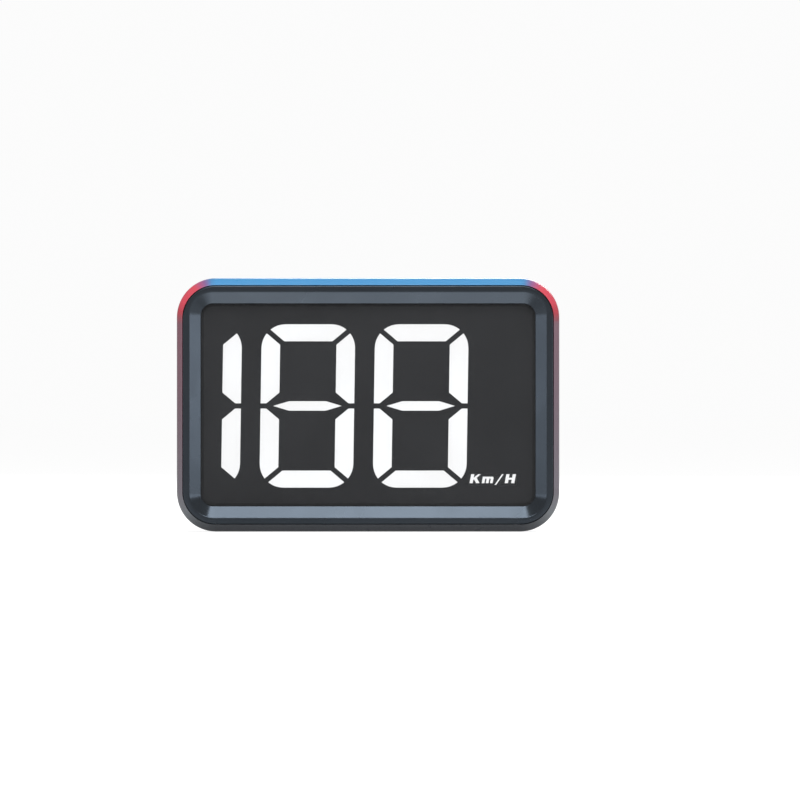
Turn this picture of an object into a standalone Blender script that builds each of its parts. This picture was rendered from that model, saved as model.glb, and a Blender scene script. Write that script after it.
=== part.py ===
"""Pocket-size solar speed display: lit digits behind a smoked lens, a solar panel and a fold-out stand.

Metres, +Z up. The display faces -Y, the solar panel faces +Y, and the case stands on z = 0.
"""

import math

import bmesh
import bpy
from mathutils import Matrix, Vector

# ---------------------------------------------------------------- overall size
WIDTH = 0.0800
HEIGHT = 0.0530
DEPTH = 0.0180
CORNER_RADIUS = 0.0082
CORNER_STEPS = 6
CENTRE_Z = HEIGHT / 2
FRONT_Y = -DEPTH / 2
BUTTON_PROUD = 0.0003  # the buttons stand out of the back by this, inside the depth
BACK_Y = DEPTH / 2 - BUTTON_PROUD

# ---------------------------------------------------------------- clearances
GAP = 0.00005  # between faces that seat on each other
FIT = 0.0001  # around a piece that drops into a pocket
SLIDE = 0.0002  # around a piece that moves
PIN_FIT = 0.00005  # radial, pin in its bore
OVER = 0.001  # how far a cutter runs past the face that it opens

# ---------------------------------------------------------------- front: rim, ring, bevel, window
RIM_SIDE = 0.0012
RIM_END = 0.0015
RIM_DROP = 0.0016
RIM_BACK_Y = FRONT_Y + 0.0036
RIM_GAP = 0.00015
GUSSET_HALF = 0.0005
RING_WIDTH = 0.0014
RING_RADIUS = 0.0051
BEVEL_WIDTH = 0.00242
BEVEL_DEPTH = 0.0017
WINDOW_RADIUS = 0.0026
LIP_DEPTH = 0.0004
LENS_MARGIN = 0.0010  # how far the lens runs behind the lip
LENS_THICKNESS = 0.0010
FRAME_DEPTH = 0.0027  # pocket that holds lens, gasket and mask
WALL = 0.0016
PARTING_Y = 0.0024
PARTING_GAP = 0.00015

# ---------------------------------------------------------------- display stack
GASKET_THICKNESS = 0.0003
GASKET_WIDTH = 0.0016
MASK_THICKNESS = 0.0004
WEB_THICKNESS = 0.0003
REFLECTOR_DEPTH = 0.0035
BOARD_THICKNESS = 0.0010
BOARD_MARGIN = 0.0004
WELL_GROWTH = 0.0002
LED_CHIP = (0.0012, 0.0008, 0.0006)  # width, height, how far it stands off the board
WEB_MARGIN = 0.0001  # how far an insert's web runs past its segments
REFLECTOR_MARGIN = 0.0020  # above and below the digits

DIGIT_HEIGHT = 0.0342
DIGIT_WIDTH = 0.0196
DIGIT_PITCH = 0.02373
DIGIT_RADIUS = 0.0050
UNITS_X = 0.01102
DIGITS_DROP = 0.00022
SIDE_STROKE = 0.0039
END_STROKE = 0.00356
MIDDLE_STROKE = 0.00198
MIDDLE_TIP = 0.00716
MIDDLE_FLAT = 0.00387
SEGMENT_GAP = 0.0011
SEGMENT_CUT = math.radians(40)  # the diagonal gaps' angle to the horizontal
WAIST_FLAT = 0.0012
SLANT = 0.0149
ARC_STEPS = 4

LEGEND_X = 0.02124
LEGEND_DROP = 0.01639
LEGEND_HEIGHT = 0.00187
LEGEND_STRETCH = 1.22
LEGEND_LEAN = 0.19

# ---------------------------------------------------------------- rear cover
TONGUE_LENGTH = 0.0014
TONGUE_THICKNESS = 0.00085
BACK_EDGES = ((0.0, 0.0026), (0.0006, 0.0013), (0.0018, 0.0005))  # depth from the back, inset

# ---------------------------------------------------------------- case screws and their bosses
SCREW_INSET = WALL + 0.0045
BOSS_RADIUS = 0.0024
BOSS_JOIN_Y = 0.0022
SCREW_RADIUS = 0.0008
SCREW_HEAD_RADIUS = 0.00155
SCREW_HEAD_HEIGHT = 0.0011
COUNTERBORE_RADIUS = 0.0018
COUNTERBORE_DEPTH = 0.0030
SCREW_BITE = 0.0045
BOARD_NOTCH = 0.0031  # half width of the corner that a board leaves free round a boss

# ---------------------------------------------------------------- board screws and posts
POST_RADIUS = 0.0016
SMALL_SCREW_RADIUS = 0.0006
SMALL_HEAD_RADIUS = 0.0012
SMALL_HEAD_HEIGHT = 0.0007
SMALL_SCREW_BITE = 0.0020
DISPLAY_SCREW_X = 0.0220
UPPER_SCREW = (0.0090, 0.0120)  # main board's screws: in from the side, down from the top
LOWER_SCREW = (0.0130, 0.0067)  # in from the side, up from the bottom

# ---------------------------------------------------------------- solar panel, battery, stand
SOLAR_MARGIN = 0.0042  # from the case screws' counterbores
SOLAR_BOTTOM = 0.0258
SOLAR_THICKNESS = 0.0012
SOLAR_SINK = 0.0001
FLOOR = 0.0011  # wall left under a recess in the back
BATTERY_THICKNESS = 0.0027
BATTERY_PAD = 0.0003
BATTERY_HALF_X = 0.0250
BATTERY_MARGIN = 0.0006  # inside the solar panel's height
BATTERY_PAD_MARGIN = 0.0025

COLUMN_WIDTH = 0.0177  # each side of the stand, for the controls
STAND_TOP = 0.0226
STAND_THICKNESS = 0.0026
PAD_THICKNESS = 0.00075
PAD_MARGIN = 0.0016
WASHER_THICKNESS = 0.0005
PIN_RADIUS = 0.0006
PIN_LENGTH = 0.0078
PIN_IN_COVER = 0.0016
STAND_KNUCKLE_Y = BACK_Y - PAD_THICKNESS - STAND_THICKNESS / 2 - GAP
STAND_AXIS = Vector((0.0, STAND_KNUCKLE_Y, BACK_Y - STAND_KNUCKLE_Y))
PULL_WIDTH = 0.0100
PULL_RADIUS = 0.0017
FOOT_CHAMFER = 0.0008
PAD_CORNER = 0.0015

# ---------------------------------------------------------------- controls and electronics
CONTROL_X = WIDTH / 2 - 0.0100
MODE_Z = 0.0205
SET_Z = 0.0130
BUTTON_RADIUS = 0.0025
BUTTON_FLANGE = 0.0007
BUTTON_RIM = 0.0007  # how far the flange runs past the cap
BUTTON_CHAMFER = (0.0006, 0.0004)  # inwards, and down from the crown
STEM_DEPTH = 0.0006  # of the stem in its switch at rest
SWITCH_SIZE = 0.0045
SWITCH_HEIGHT = 0.0020
STEM_RADIUS = 0.0009
STEM_BORE = 0.0012
SLIDER_Z = 0.0125
SLIDER_TRAVEL = 0.0020
SLIDER_KNOB = (0.0026, 0.0016)
SLIDER_POCKET = 0.0006
SLIDER_POCKET_MARGIN = 0.0012
SLIDER_PLATE = 0.0008
GRIP_PITCH = 0.0007
GRIP_DEPTH = 0.0003
POWER_SWITCH = (0.0086, 0.0034, 0.0022)
BUZZER_Z = 0.0210
BUZZER_RADIUS = 0.0042
BUZZER_HEIGHT = 0.0030
BUZZER_MOUTH = (0.0010, 0.0012)  # radius, depth
VENT_COUNT = 6
VENT_RADIUS = 0.0005
VENT_RING = 0.0015
USB_Z = 0.0345
USB_SIZE = (0.0074, 0.0032, 0.0090)
USB_WALL = 0.0003
USB_SINK = 0.0006
USB_FLOOR = 0.0013  # closed inner end of the socket
USB_TONGUE = (0.0012, 0.0007, 0.0066)  # back from the mouth, thickness, width
ANTENNA_SIZE = (0.0100, 0.0098, 0.0030)
ANTENNA_PAD = 0.0004
ANTENNA_PAD_INSET = (0.0010, 0.0035)  # at the sides and back, and at the front
LEAD_RADIUS = 0.0004
COAX_RADIUS = 0.00036
LEAD_EDGE = 0.0011  # from the solar panel's side to its leads
LEAD_DROPS = {"positive": 0.0040, "negative": 0.0070}  # from the solar panel's top
PLUG = (-BATTERY_HALF_X - 0.0058, 0.0345)  # battery connector's place
PLUG_SIZE = (0.0036, 0.0050, 0.0024)
LEAD_PITCH = 0.0018
COAX_SOCKET = (0.0090, -0.0030, 0.0010, 0.0010)  # x, rise from the board's top, radius, height
LED_DRIVER = (0.0180, -0.0120, 0.0030, 0.0010)  # x, rise from the centre, half size, height
HEADER = ((0.0, 0.0070), (0.0160, 0.0040))  # place, size
FRONT_CHIPS = (  # name, place, size, material, edge
    ("gps_receiver", (-0.0160, 0.0360), (0.0100, 0.0096, 0.0018), "steel", 0.0002),
    ("microcontroller", (0.0060, 0.0260), (0.0070, 0.0070, 0.0010), "chip", 0.0),
    ("charger_chip", (0.0210, 0.0300), (0.0040, 0.0040, 0.0009), "chip", 0.0),
)

# ---------------------------------------------------------------- places worked out from the sizes
SEAT_Y = FRONT_Y + BEVEL_DEPTH + LIP_DEPTH
LEDGE_Y = SEAT_Y + FRAME_DEPTH
LENS_BACK = SEAT_Y + GAP + LENS_THICKNESS
GASKET_BACK = LENS_BACK + GAP + GASKET_THICKNESS
MASK_FRONT = GASKET_BACK + GAP
MASK_BACK = MASK_FRONT + MASK_THICKNESS
WEB_BACK = MASK_BACK + GAP + WEB_THICKNESS
REFLECTOR_BACK = WEB_BACK + GAP + REFLECTOR_DEPTH
LED_BOARD_FRONT = REFLECTOR_BACK + GAP
LED_BOARD_BACK = LED_BOARD_FRONT + BOARD_THICKNESS
INNER_BACK_Y = BACK_Y - WALL
SOLAR_SEAT_Y = BACK_Y - SOLAR_SINK - SOLAR_THICKNESS
SOLAR_FLOOR_Y = SOLAR_SEAT_Y - GAP - FLOOR
MAIN_BACK = SOLAR_FLOOR_Y - BATTERY_THICKNESS - BATTERY_PAD - 3 * GAP
MAIN_FRONT = MAIN_BACK - BOARD_THICKNESS
BOARD_SPACING = MAIN_FRONT - LED_BOARD_BACK

RING_SIDE = RIM_SIDE + RING_WIDTH
RING_END = RIM_END + RING_WIDTH
WINDOW_SIDE = RING_SIDE + BEVEL_WIDTH
WINDOW_END = RING_END + BEVEL_WIDTH
LENS_SIDE = WINDOW_SIDE - LENS_MARGIN
LENS_END = WINDOW_END - LENS_MARGIN
LENS_RADIUS = WINDOW_RADIUS + LENS_MARGIN
TONGUE_INSET = WALL + PARTING_GAP
INNER_INSET = TONGUE_INSET + TONGUE_THICKNESS
ANTENNA_TOP = HEIGHT - INNER_INSET - ANTENNA_PAD - 2 * GAP
ANTENNA_BASE = ANTENNA_TOP - ANTENNA_SIZE[2]
SOLAR_TOP = ANTENNA_BASE - FLOOR - SLIDE
SCREW_X = WIDTH / 2 - SCREW_INSET
SCREW_RISE = HEIGHT / 2 - SCREW_INSET
DIGIT_Z = CENTRE_Z - DIGITS_DROP
SOLAR_HALF_X = SCREW_X - COUNTERBORE_RADIUS - SOLAR_MARGIN
STAND_RECESS_HALF = WIDTH / 2 - COLUMN_WIDTH
STAND_RECESS_Y = STAND_KNUCKLE_Y - STAND_THICKNESS / 2 - SLIDE
STAND_HALF_X = STAND_RECESS_HALF - WASHER_THICKNESS - 2 * FIT
BORE = PIN_RADIUS + PIN_FIT
NOTCH_X = SCREW_X - BOARD_NOTCH
NOTCH_RISE = SCREW_RISE - BOARD_NOTCH
EMBED = 6 * GAP  # how far an added shape reaches into what carries it


# ================================================================ materials
def paint(name, colour, roughness, metallic=0.0):
    """A plain Principled material."""
    material = bpy.data.materials.new(name)
    material.use_nodes = True
    shader = material.node_tree.nodes["Principled BSDF"]
    shader.inputs["Base Color"].default_value = (*colour, 1.0)
    shader.inputs["Roughness"].default_value = roughness
    shader.inputs["Metallic"].default_value = metallic
    return material


# ================================================================ solids: (points, faces)
def rounded(half_x, half_z, radius, centre=(0.0, CENTRE_Z), steps=CORNER_STEPS):
    """Outline (x, z) of a rectangle with round corners."""
    points = []
    for quarter, (sx, sz) in enumerate(((1, 1), (-1, 1), (-1, -1), (1, -1))):
        cx = centre[0] + sx * (half_x - radius)
        cz = centre[1] + sz * (half_z - radius)
        for step in range(steps + 1):
            turn = (quarter + step / steps) * math.pi / 2
            points.append((cx + radius * math.cos(turn), cz + radius * math.sin(turn)))
    return points


def inset(side, end, radius):
    """The case's outline moved in by side at left and right and by end at top and bottom."""
    return rounded(WIDTH / 2 - side, HEIGHT / 2 - end, radius)


def lofted(sections, ring=False):
    """Skins (y, outline) sections in order, with caps, or as a closed ring without them."""
    count = len(sections[0][1])
    points = [(x, y, z) for y, outline in sections for x, z in outline]
    faces = []
    last = len(sections) if ring else len(sections) - 1
    for i in range(last):
        a, b = i * count, (i + 1) % len(sections) * count
        for j in range(count):
            k = (j + 1) % count
            faces.append((a + j, a + k, b + k, b + j))
    if not ring:
        faces.append(tuple(range(count)))
        faces.append(tuple(range((len(sections) - 1) * count, len(points))))
    return points, faces


def slab(outline, y0, y1):
    """The outline extruded from y0 to y1."""
    return lofted([(y0, outline), (y1, outline)])


def block(x0, x1, y0, y1, z0, z1):
    """A box between two corners."""
    return slab([(x0, z0), (x1, z0), (x1, z1), (x0, z1)], y0, y1)


def turned(origin, axis, profile, segments=16):
    """Circles of (distance along the axis, radius) round an axis through origin, capped at both ends."""
    axis = Vector(axis)
    across = Vector((0, 0, 1)) if abs(axis.z) < 0.5 else Vector((1, 0, 0))
    other = axis.cross(across)
    points, faces = [], []
    for distance, radius in profile:
        middle = Vector(origin) + axis * distance
        for i in range(segments):
            turn = 2 * math.pi * i / segments
            points.append(middle + (across * math.cos(turn) + other * math.sin(turn)) * radius)
    for i in range(len(profile) - 1):
        for j in range(segments):
            k = (j + 1) % segments
            a, b = i * segments, (i + 1) * segments
            faces.append((a + j, a + k, b + k, b + j))
    faces.append(tuple(range(segments)))
    faces.append(tuple(range(len(points) - segments, len(points))))
    return points, faces


def peg(place, y0, y1, radius, segments=12):
    """A round bar along Y at place (x, z)."""
    return turned((place[0], y0, place[1]), (0, 1, 0), ((0, radius), (y1 - y0, radius)), segments)


def axle(x0, x1, radius, segments=12):
    """A round bar on the stand's axis, between two places along X."""
    side = 1 if x1 > x0 else -1
    start = (x0, STAND_AXIS.y, STAND_AXIS.z)
    return turned(start, (side, 0, 0), ((0, radius), (abs(x1 - x0), radius)), segments)


def across(x0, x1, outline):
    """An outline of (y, z) points extruded along X."""
    count = len(outline)
    points = [(x, y, z) for x in (x0, x1) for y, z in outline]
    sides = [(i, (i + 1) % count, count + (i + 1) % count, count + i) for i in range(count)]
    return points, [*sides, tuple(range(count)), tuple(range(count, 2 * count))]


def notched(half_x, z0, z1):
    """A board outline whose corners leave the case bosses free."""
    low, high = CENTRE_Z - NOTCH_RISE, CENTRE_Z + NOTCH_RISE
    return [
        (-NOTCH_X, z0), (NOTCH_X, z0), (NOTCH_X, low), (half_x, low),
        (half_x, high), (NOTCH_X, high), (NOTCH_X, z1), (-NOTCH_X, z1),
        (-NOTCH_X, high), (-half_x, high), (-half_x, low), (-NOTCH_X, low),
    ]  # fmt: skip


# ================================================================ objects and Booleans
def build(name, solids, material=None, origin=(0, 0, 0), bevel=0.0):
    """One object from one or more solids, faces out, with its origin at the point given."""
    mesh = bpy.data.meshes.new(name)
    shape = bmesh.new()
    for points, faces in solids:
        corners = [shape.verts.new(point) for point in points]
        for face in faces:
            shape.faces.new([corners[i] for i in face])
    bmesh.ops.recalc_face_normals(shape, faces=shape.faces)
    shape.to_mesh(mesh)
    shape.free()
    mesh.transform(Matrix.Translation(-Vector(origin)))
    mesh.shade_smooth()
    mesh.set_sharp_from_angle(angle=math.radians(30))
    piece = bpy.data.objects.new(name, mesh)
    piece.location = origin
    bpy.context.scene.collection.objects.link(piece)
    if material:
        mesh.materials.append(material)
    if bevel:
        edge = piece.modifiers.new("edge", "BEVEL")
        edge.width = bevel
        edge.segments = 2
        edge.limit_method = "ANGLE"
    return piece


def combine(target, name, solids, operation):
    """A Boolean with a hidden object made of the solids."""
    tool = build(name, solids)
    tool.hide_render = True
    tool.display_type = "WIRE"
    change = target.modifiers.new(name, "BOOLEAN")
    change.operation = operation
    change.object = tool
    return target


def cut(target, name, solids):
    """Takes the solids out of the target."""
    return combine(target, f"{name}_cutter", solids, "DIFFERENCE")


def add(target, name, solids):
    """Joins the solids to the target."""
    return combine(target, f"{name}_addition", solids, "UNION")


def empty(name, location):
    """An empty on a joint's axis."""
    holder = bpy.data.objects.new(name, None)
    holder.location = location
    bpy.context.scene.collection.objects.link(holder)
    return holder


def hold(holder, *pieces):
    """Parents pieces to an empty and keeps them in place."""
    for piece in pieces:
        piece.parent = holder
        piece.location = Vector(piece.location) - Vector(holder.location)


def wire(name, route, radius, material, per_span=5):
    """A round lead along a Catmull-Rom curve through the route's points."""
    ends = [Vector(route[0]) * 2 - Vector(route[1]), Vector(route[-1]) * 2 - Vector(route[-2])]
    knots = [ends[0], *map(Vector, route), ends[1]]
    points = []
    for a, b, c, d in zip(knots, knots[1:], knots[2:], knots[3:]):
        for step in range(per_span):
            t = step / per_span
            points.append(
                (2 * b + (c - a) * t + (2 * a - 5 * b + 4 * c - d) * t**2
                 + (3 * b - a - 3 * c + d) * t**3) / 2
            )  # fmt: skip
    points.append(Vector(route[-1]))
    curve = bpy.data.curves.new(name, "CURVE")
    curve.dimensions = "3D"
    curve.bevel_depth = radius
    curve.bevel_resolution = 2
    curve.use_fill_caps = True
    spline = curve.splines.new("POLY")
    spline.points.add(len(points) - 1)
    for knot, point in zip(spline.points, points):
        knot.co = (*point, 1.0)
    curve.materials.append(material)
    piece = bpy.data.objects.new(name, curve)
    bpy.context.scene.collection.objects.link(piece)
    return piece


# ================================================================ digits and legend
def diagonal(offset):
    """Point and direction of a corner gap's edge, offset from its centre line through the corner."""
    along = Vector((math.cos(SEGMENT_CUT), math.sin(SEGMENT_CUT)))
    across = Vector((-along.y, along.x))
    corner = Vector((DIGIT_WIDTH / 2 - SIDE_STROKE, DIGIT_HEIGHT / 2 - END_STROKE))
    return corner + across * offset, along


def corner_arc(offset, grow, end_turn):
    """Points of the digit's round corner from a diagonal edge to where the arc ends."""
    radius = DIGIT_RADIUS + grow
    middle = Vector((DIGIT_WIDTH / 2 - DIGIT_RADIUS, DIGIT_HEIGHT / 2 - DIGIT_RADIUS))
    start, along = diagonal(offset)
    reach = start - middle
    run = -reach.dot(along) + math.sqrt(reach.dot(along) ** 2 - reach.length_squared + radius**2)
    tip = reach + along * run
    first = math.atan2(tip.y, tip.x)
    turns = [first + (end_turn - first) * i / ARC_STEPS for i in range(ARC_STEPS + 1)]
    return [middle + Vector((math.cos(t), math.sin(t))) * radius for t in turns]


def digit_segments(grow=0.0):
    """Seven outlines round the digit's centre, every edge moved out by grow."""
    inner_x = DIGIT_WIDTH / 2 - SIDE_STROKE - grow
    inner_z = DIGIT_HEIGHT / 2 - END_STROKE - grow
    half_gap = SEGMENT_GAP / 2 - grow
    waist = SEGMENT_GAP / 2 - grow
    start, along = diagonal(half_gap)
    top_corner = start + along * ((inner_z - start.y) / along.y)
    half_top = [top_corner, *corner_arc(half_gap, grow, math.pi / 2)]
    top = half_top + [Vector((-p.x, p.y)) for p in reversed(half_top)]
    start, along = diagonal(-half_gap)
    side_corner = start + along * ((inner_x - start.x) / along.x)
    flat_x = DIGIT_WIDTH / 2 - WAIST_FLAT
    shoulder = SEGMENT_GAP / 2 + (flat_x - inner_x) * math.tan(SEGMENT_CUT)
    side = [
        side_corner,
        *corner_arc(-half_gap, grow, 0.0),
        Vector((DIGIT_WIDTH / 2 + grow, waist)),
        Vector((flat_x - grow / 2, waist)),
        Vector((inner_x, shoulder - grow / math.cos(SEGMENT_CUT))),
    ]
    tip = MIDDLE_TIP + grow * 3
    half = MIDDLE_STROKE / 2 + grow
    flat = MIDDLE_FLAT
    middle = [(tip, 0), (flat, half), (-flat, half), (-tip, 0), (-flat, -half), (flat, -half)]

    def flipped(outline, sx, sz):
        return [Vector((p.x * sx, p.y * sz)) for p in outline]

    return {
        "top": top,
        "bottom": flipped(top, 1, -1),
        "upper_right": side,
        "lower_right": flipped(side, 1, -1),
        "upper_left": flipped(side, -1, 1),
        "lower_left": flipped(side, -1, -1),
        "middle": [Vector(p) for p in middle],
    }


DIGITS = {
    "hundreds": (UNITS_X - 2 * DIGIT_PITCH, ("upper_right", "lower_right")),
    "tens": (UNITS_X - DIGIT_PITCH, tuple(digit_segments())),
    "units": (UNITS_X, tuple(digit_segments())),
}

LETTERS = (  # outlines on a cap height of 1, and the step to the next letter
    (((0, 0), (0.29, 0), (0.29, 0.34), (0.36, 0.43), (0.60, 0), (0.92, 0), (0.57, 0.60),
      (0.88, 1), (0.64, 1), (0.29, 0.60), (0.29, 1), (0, 1)), 1.12),
    (((0, 0), (0.24, 0), (0.24, 0.50), (0.38, 0.50), (0.38, 0), (0.62, 0), (0.62, 0.50),
      (0.76, 0.50), (0.76, 0), (1.00, 0), (1.00, 0.60), (0.90, 0.72), (0, 0.72)), 1.21),
    (((0, -0.20), (0.14, -0.20), (0.64, 1), (0.50, 1)), 0.90),
    (((0, 0), (0.29, 0), (0.29, 0.39), (0.59, 0.39), (0.59, 0), (0.88, 0), (0.88, 1),
      (0.59, 1), (0.59, 0.61), (0.29, 0.61), (0.29, 1), (0, 1)), 0.88),
)  # fmt: skip


def lit_outlines(digit, grow=0.0):
    """One digit's lit outlines in case coordinates."""
    centre_x, names = DIGITS[digit]
    shapes = digit_segments(grow)

    def placed(outline):
        return [(centre_x + p.x + SLANT * p.y, DIGIT_Z + p.y) for p in outline]

    return [placed(shapes[name]) for name in names]


def legend_outlines():
    """The unit legend's leaning letters in case coordinates."""
    start, outlines = 0.0, []
    for letter, step in LETTERS:
        outlines.append([
            (
                LEGEND_X + ((start + x) * LEGEND_STRETCH + z * LEGEND_LEAN) * LEGEND_HEIGHT,
                CENTRE_Z - LEGEND_DROP + z * LEGEND_HEIGHT,
            )
            for x, z in letter
        ])  # fmt: skip
        start += step
    return outlines


def legend_box(margin):
    """Lowest and highest corners of the legend, with a margin."""
    points = [p for outline in legend_outlines() for p in outline]
    xs, zs = [p[0] for p in points], [p[1] for p in points]
    return min(xs) - margin, max(xs) + margin, min(zs) - margin, max(zs) + margin


# ================================================================ places used more than once
def case_screw_places():
    """Where the four case screws stand, as (x, z)."""
    return [(sx * SCREW_X, CENTRE_Z + sz * SCREW_RISE) for sx in (-1, 1) for sz in (-1, 1)]


def display_screw_places():
    """Where the LED board's screws stand, as (x, z)."""
    rise = HEIGHT / 2 - WALL - POST_RADIUS
    return [(sx * DISPLAY_SCREW_X, CENTRE_Z + sz * rise) for sx in (-1, 1) for sz in (-1, 1)]


def board_screw_places():
    """Where the main board's screws stand, as (x, z)."""
    rows = ((UPPER_SCREW[0], HEIGHT - UPPER_SCREW[1]), LOWER_SCREW)
    return [(side * (WIDTH / 2 - inset_x), z) for side in (-1, 1) for inset_x, z in rows]


def screw(name, place, head_y, reach, radius, head_radius, head_height, material, aim=-1):
    """A pan-head screw with a cross recess, driven along Y in the direction aim from head_y."""
    x, z = place
    profile = ((0, radius * 0.6), (radius * 0.5, radius), (reach, radius))
    top = ((reach, head_radius), (reach + head_height * 0.6, head_radius),
           (reach + head_height, head_radius * 0.72))  # fmt: skip
    shape = turned((x, head_y + aim * reach, z), (0, -aim, 0), profile + top, 12)
    piece = build(name, [shape], material)
    slot = head_radius * 0.62
    blade = head_radius * 0.16
    y0, y1 = head_y - aim * head_height * 0.5, head_y - aim * (head_height + OVER)
    cross = [
        (x - slot, z - blade), (x - blade, z - blade), (x - blade, z - slot),
        (x + blade, z - slot), (x + blade, z - blade), (x + slot, z - blade),
        (x + slot, z + blade), (x + blade, z + blade), (x + blade, z + slot),
        (x - blade, z + slot), (x - blade, z + blade), (x - slot, z + blade),
    ]  # fmt: skip
    return cut(piece, f"{name}_cross", [slab(cross, y0, y1)])


# ================================================================ front half of the case
def front_half(m):
    """Bezel with its bosses and posts, the coloured rim, the lens and its gasket."""
    middle = (RIM_SIDE + RIM_END) / 2
    nose = inset(RIM_SIDE + RIM_GAP, RIM_END + RIM_GAP, CORNER_RADIUS - middle - RIM_GAP)
    window = inset(WINDOW_SIDE, WINDOW_END, WINDOW_RADIUS)
    pocket = inset(LENS_SIDE - FIT, LENS_END - FIT, LENS_RADIUS + FIT)
    inside = inset(WALL, WALL, CORNER_RADIUS - WALL)
    outside = inset(0, 0, CORNER_RADIUS)
    bezel = build("front_bezel", [lofted([
        (FRONT_Y, nose),
        (FRONT_Y, inset(RING_SIDE, RING_END, RING_RADIUS)),
        (SEAT_Y - LIP_DEPTH, window),
        (SEAT_Y, window),
        (SEAT_Y, pocket),
        (LEDGE_Y, pocket),
        (LEDGE_Y, inside),
        (PARTING_Y, inside),
        (PARTING_Y, outside),
        (RIM_BACK_Y + GAP, outside),
        (RIM_BACK_Y + GAP, nose),
    ], ring=True)], m["case"])  # fmt: skip
    start = LEDGE_Y - EMBED
    add(bezel, "case_boss", [
        peg(place, start, BOSS_JOIN_Y, BOSS_RADIUS, 16) for place in case_screw_places()
    ])  # fmt: skip
    gussets = []
    for x, z in case_screw_places():
        reach = sorted((x, math.copysign(WIDTH / 2 - WALL / 2, x)))
        back = PARTING_Y - TONGUE_LENGTH - FIT
        gussets.append(block(*reach, start, back, z - GUSSET_HALF, z + GUSSET_HALF))
    add(bezel, "boss_gusset", gussets)
    add(bezel, "display_post", [
        peg(place, start, LED_BOARD_FRONT - GAP, POST_RADIUS + FIT) for place in display_screw_places()
    ])  # fmt: skip
    end = BOSS_JOIN_Y - SCREW_BITE - SLIDE
    holes = [
        peg(place, end, BOSS_JOIN_Y + OVER, SCREW_RADIUS + PIN_FIT) for place in case_screw_places()
    ]  # fmt: skip
    end = LED_BOARD_FRONT - SMALL_SCREW_BITE - SLIDE
    holes += [
        peg(place, end, LED_BOARD_FRONT + OVER, SMALL_SCREW_RADIUS + PIN_FIT)
        for place in display_screw_places()
    ]
    cut(bezel, "front_screw_holes", holes)

    rim = inset(RIM_SIDE, RIM_END, CORNER_RADIUS - middle)
    build("trim_ring", [lofted([
        (RIM_BACK_Y, outside), (FRONT_Y + RIM_DROP, outside), (FRONT_Y + GAP, rim), (RIM_BACK_Y, rim),
    ], ring=True)], m["rim"])  # fmt: skip
    outer = inset(LENS_SIDE, LENS_END, LENS_RADIUS)
    inner = inset(LENS_SIDE + GASKET_WIDTH, LENS_END + GASKET_WIDTH, LENS_RADIUS - GASKET_WIDTH)
    build("display_lens", [slab(outer, SEAT_Y + GAP, LENS_BACK)], m["lens"])
    build("lens_gasket", [lofted([
        (LENS_BACK + GAP, outer), (LENS_BACK + GAP, inner), (GASKET_BACK, inner), (GASKET_BACK, outer),
    ], ring=True)], m["foam"])  # fmt: skip


# ================================================================ display stack
def lit_insert(name, outlines, web, m):
    """White shapes that fill the mask's openings, standing on a thin web behind the mask."""
    x0, x1, z0, z1 = web
    insert = build(name, [block(x0, x1, MASK_BACK + GAP, WEB_BACK, z0, z1)], m["lit"])
    add(insert, f"{name}_shapes", [slab(o, MASK_FRONT, MASK_BACK + 3 * GAP) for o in outlines])


def display(m):
    """Mask, lit inserts, light-well block, LED board and its screws."""
    y0, y1 = MASK_FRONT - OVER, MASK_BACK + OVER
    mask_outline = inset(LENS_SIDE, LENS_END, LENS_RADIUS)
    mask = build("segment_mask", [slab(mask_outline, MASK_FRONT, MASK_BACK)], m["mask"])
    openings = [slab(outline, y0, y1) for digit in DIGITS for outline in lit_outlines(digit, FIT)]
    x0, x1, z0, z1 = legend_box(FIT)
    cut(mask, "mask_openings", [*openings, block(x0, x1, y0, y1, z0, z1)])

    rise = DIGIT_HEIGHT / 2 + WEB_MARGIN
    for digit in DIGITS:
        outlines = lit_outlines(digit)
        xs = [x for outline in outlines for x, _ in outline]
        web = (min(xs) - WEB_MARGIN, max(xs) + WEB_MARGIN, DIGIT_Z - rise, DIGIT_Z + rise)
        lit_insert(f"digit_{digit}", outlines, web, m)
    lit_insert("unit_legend", legend_outlines(), legend_box(GAP), m)

    rise = DIGIT_HEIGHT / 2 + REFLECTOR_MARGIN
    outline = notched(WIDTH / 2 - LENS_SIDE - BOARD_MARGIN, CENTRE_Z - rise, CENTRE_Z + rise)
    y0, y1 = WEB_BACK + GAP, REFLECTOR_BACK
    reflector = build("reflector_block", [slab(outline, y0, y1)], m["white_plastic"])
    y0, y1 = y0 - OVER, y1 + OVER
    wells = [slab(o, y0, y1) for digit in DIGITS for o in lit_outlines(digit, WELL_GROWTH)]
    x0, x1, z0, z1 = legend_box(0.0)
    cut(reflector, "light_wells", [*wells, block(x0, x1, y0, y1, z0, z1)])
    led_board(m)


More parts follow.
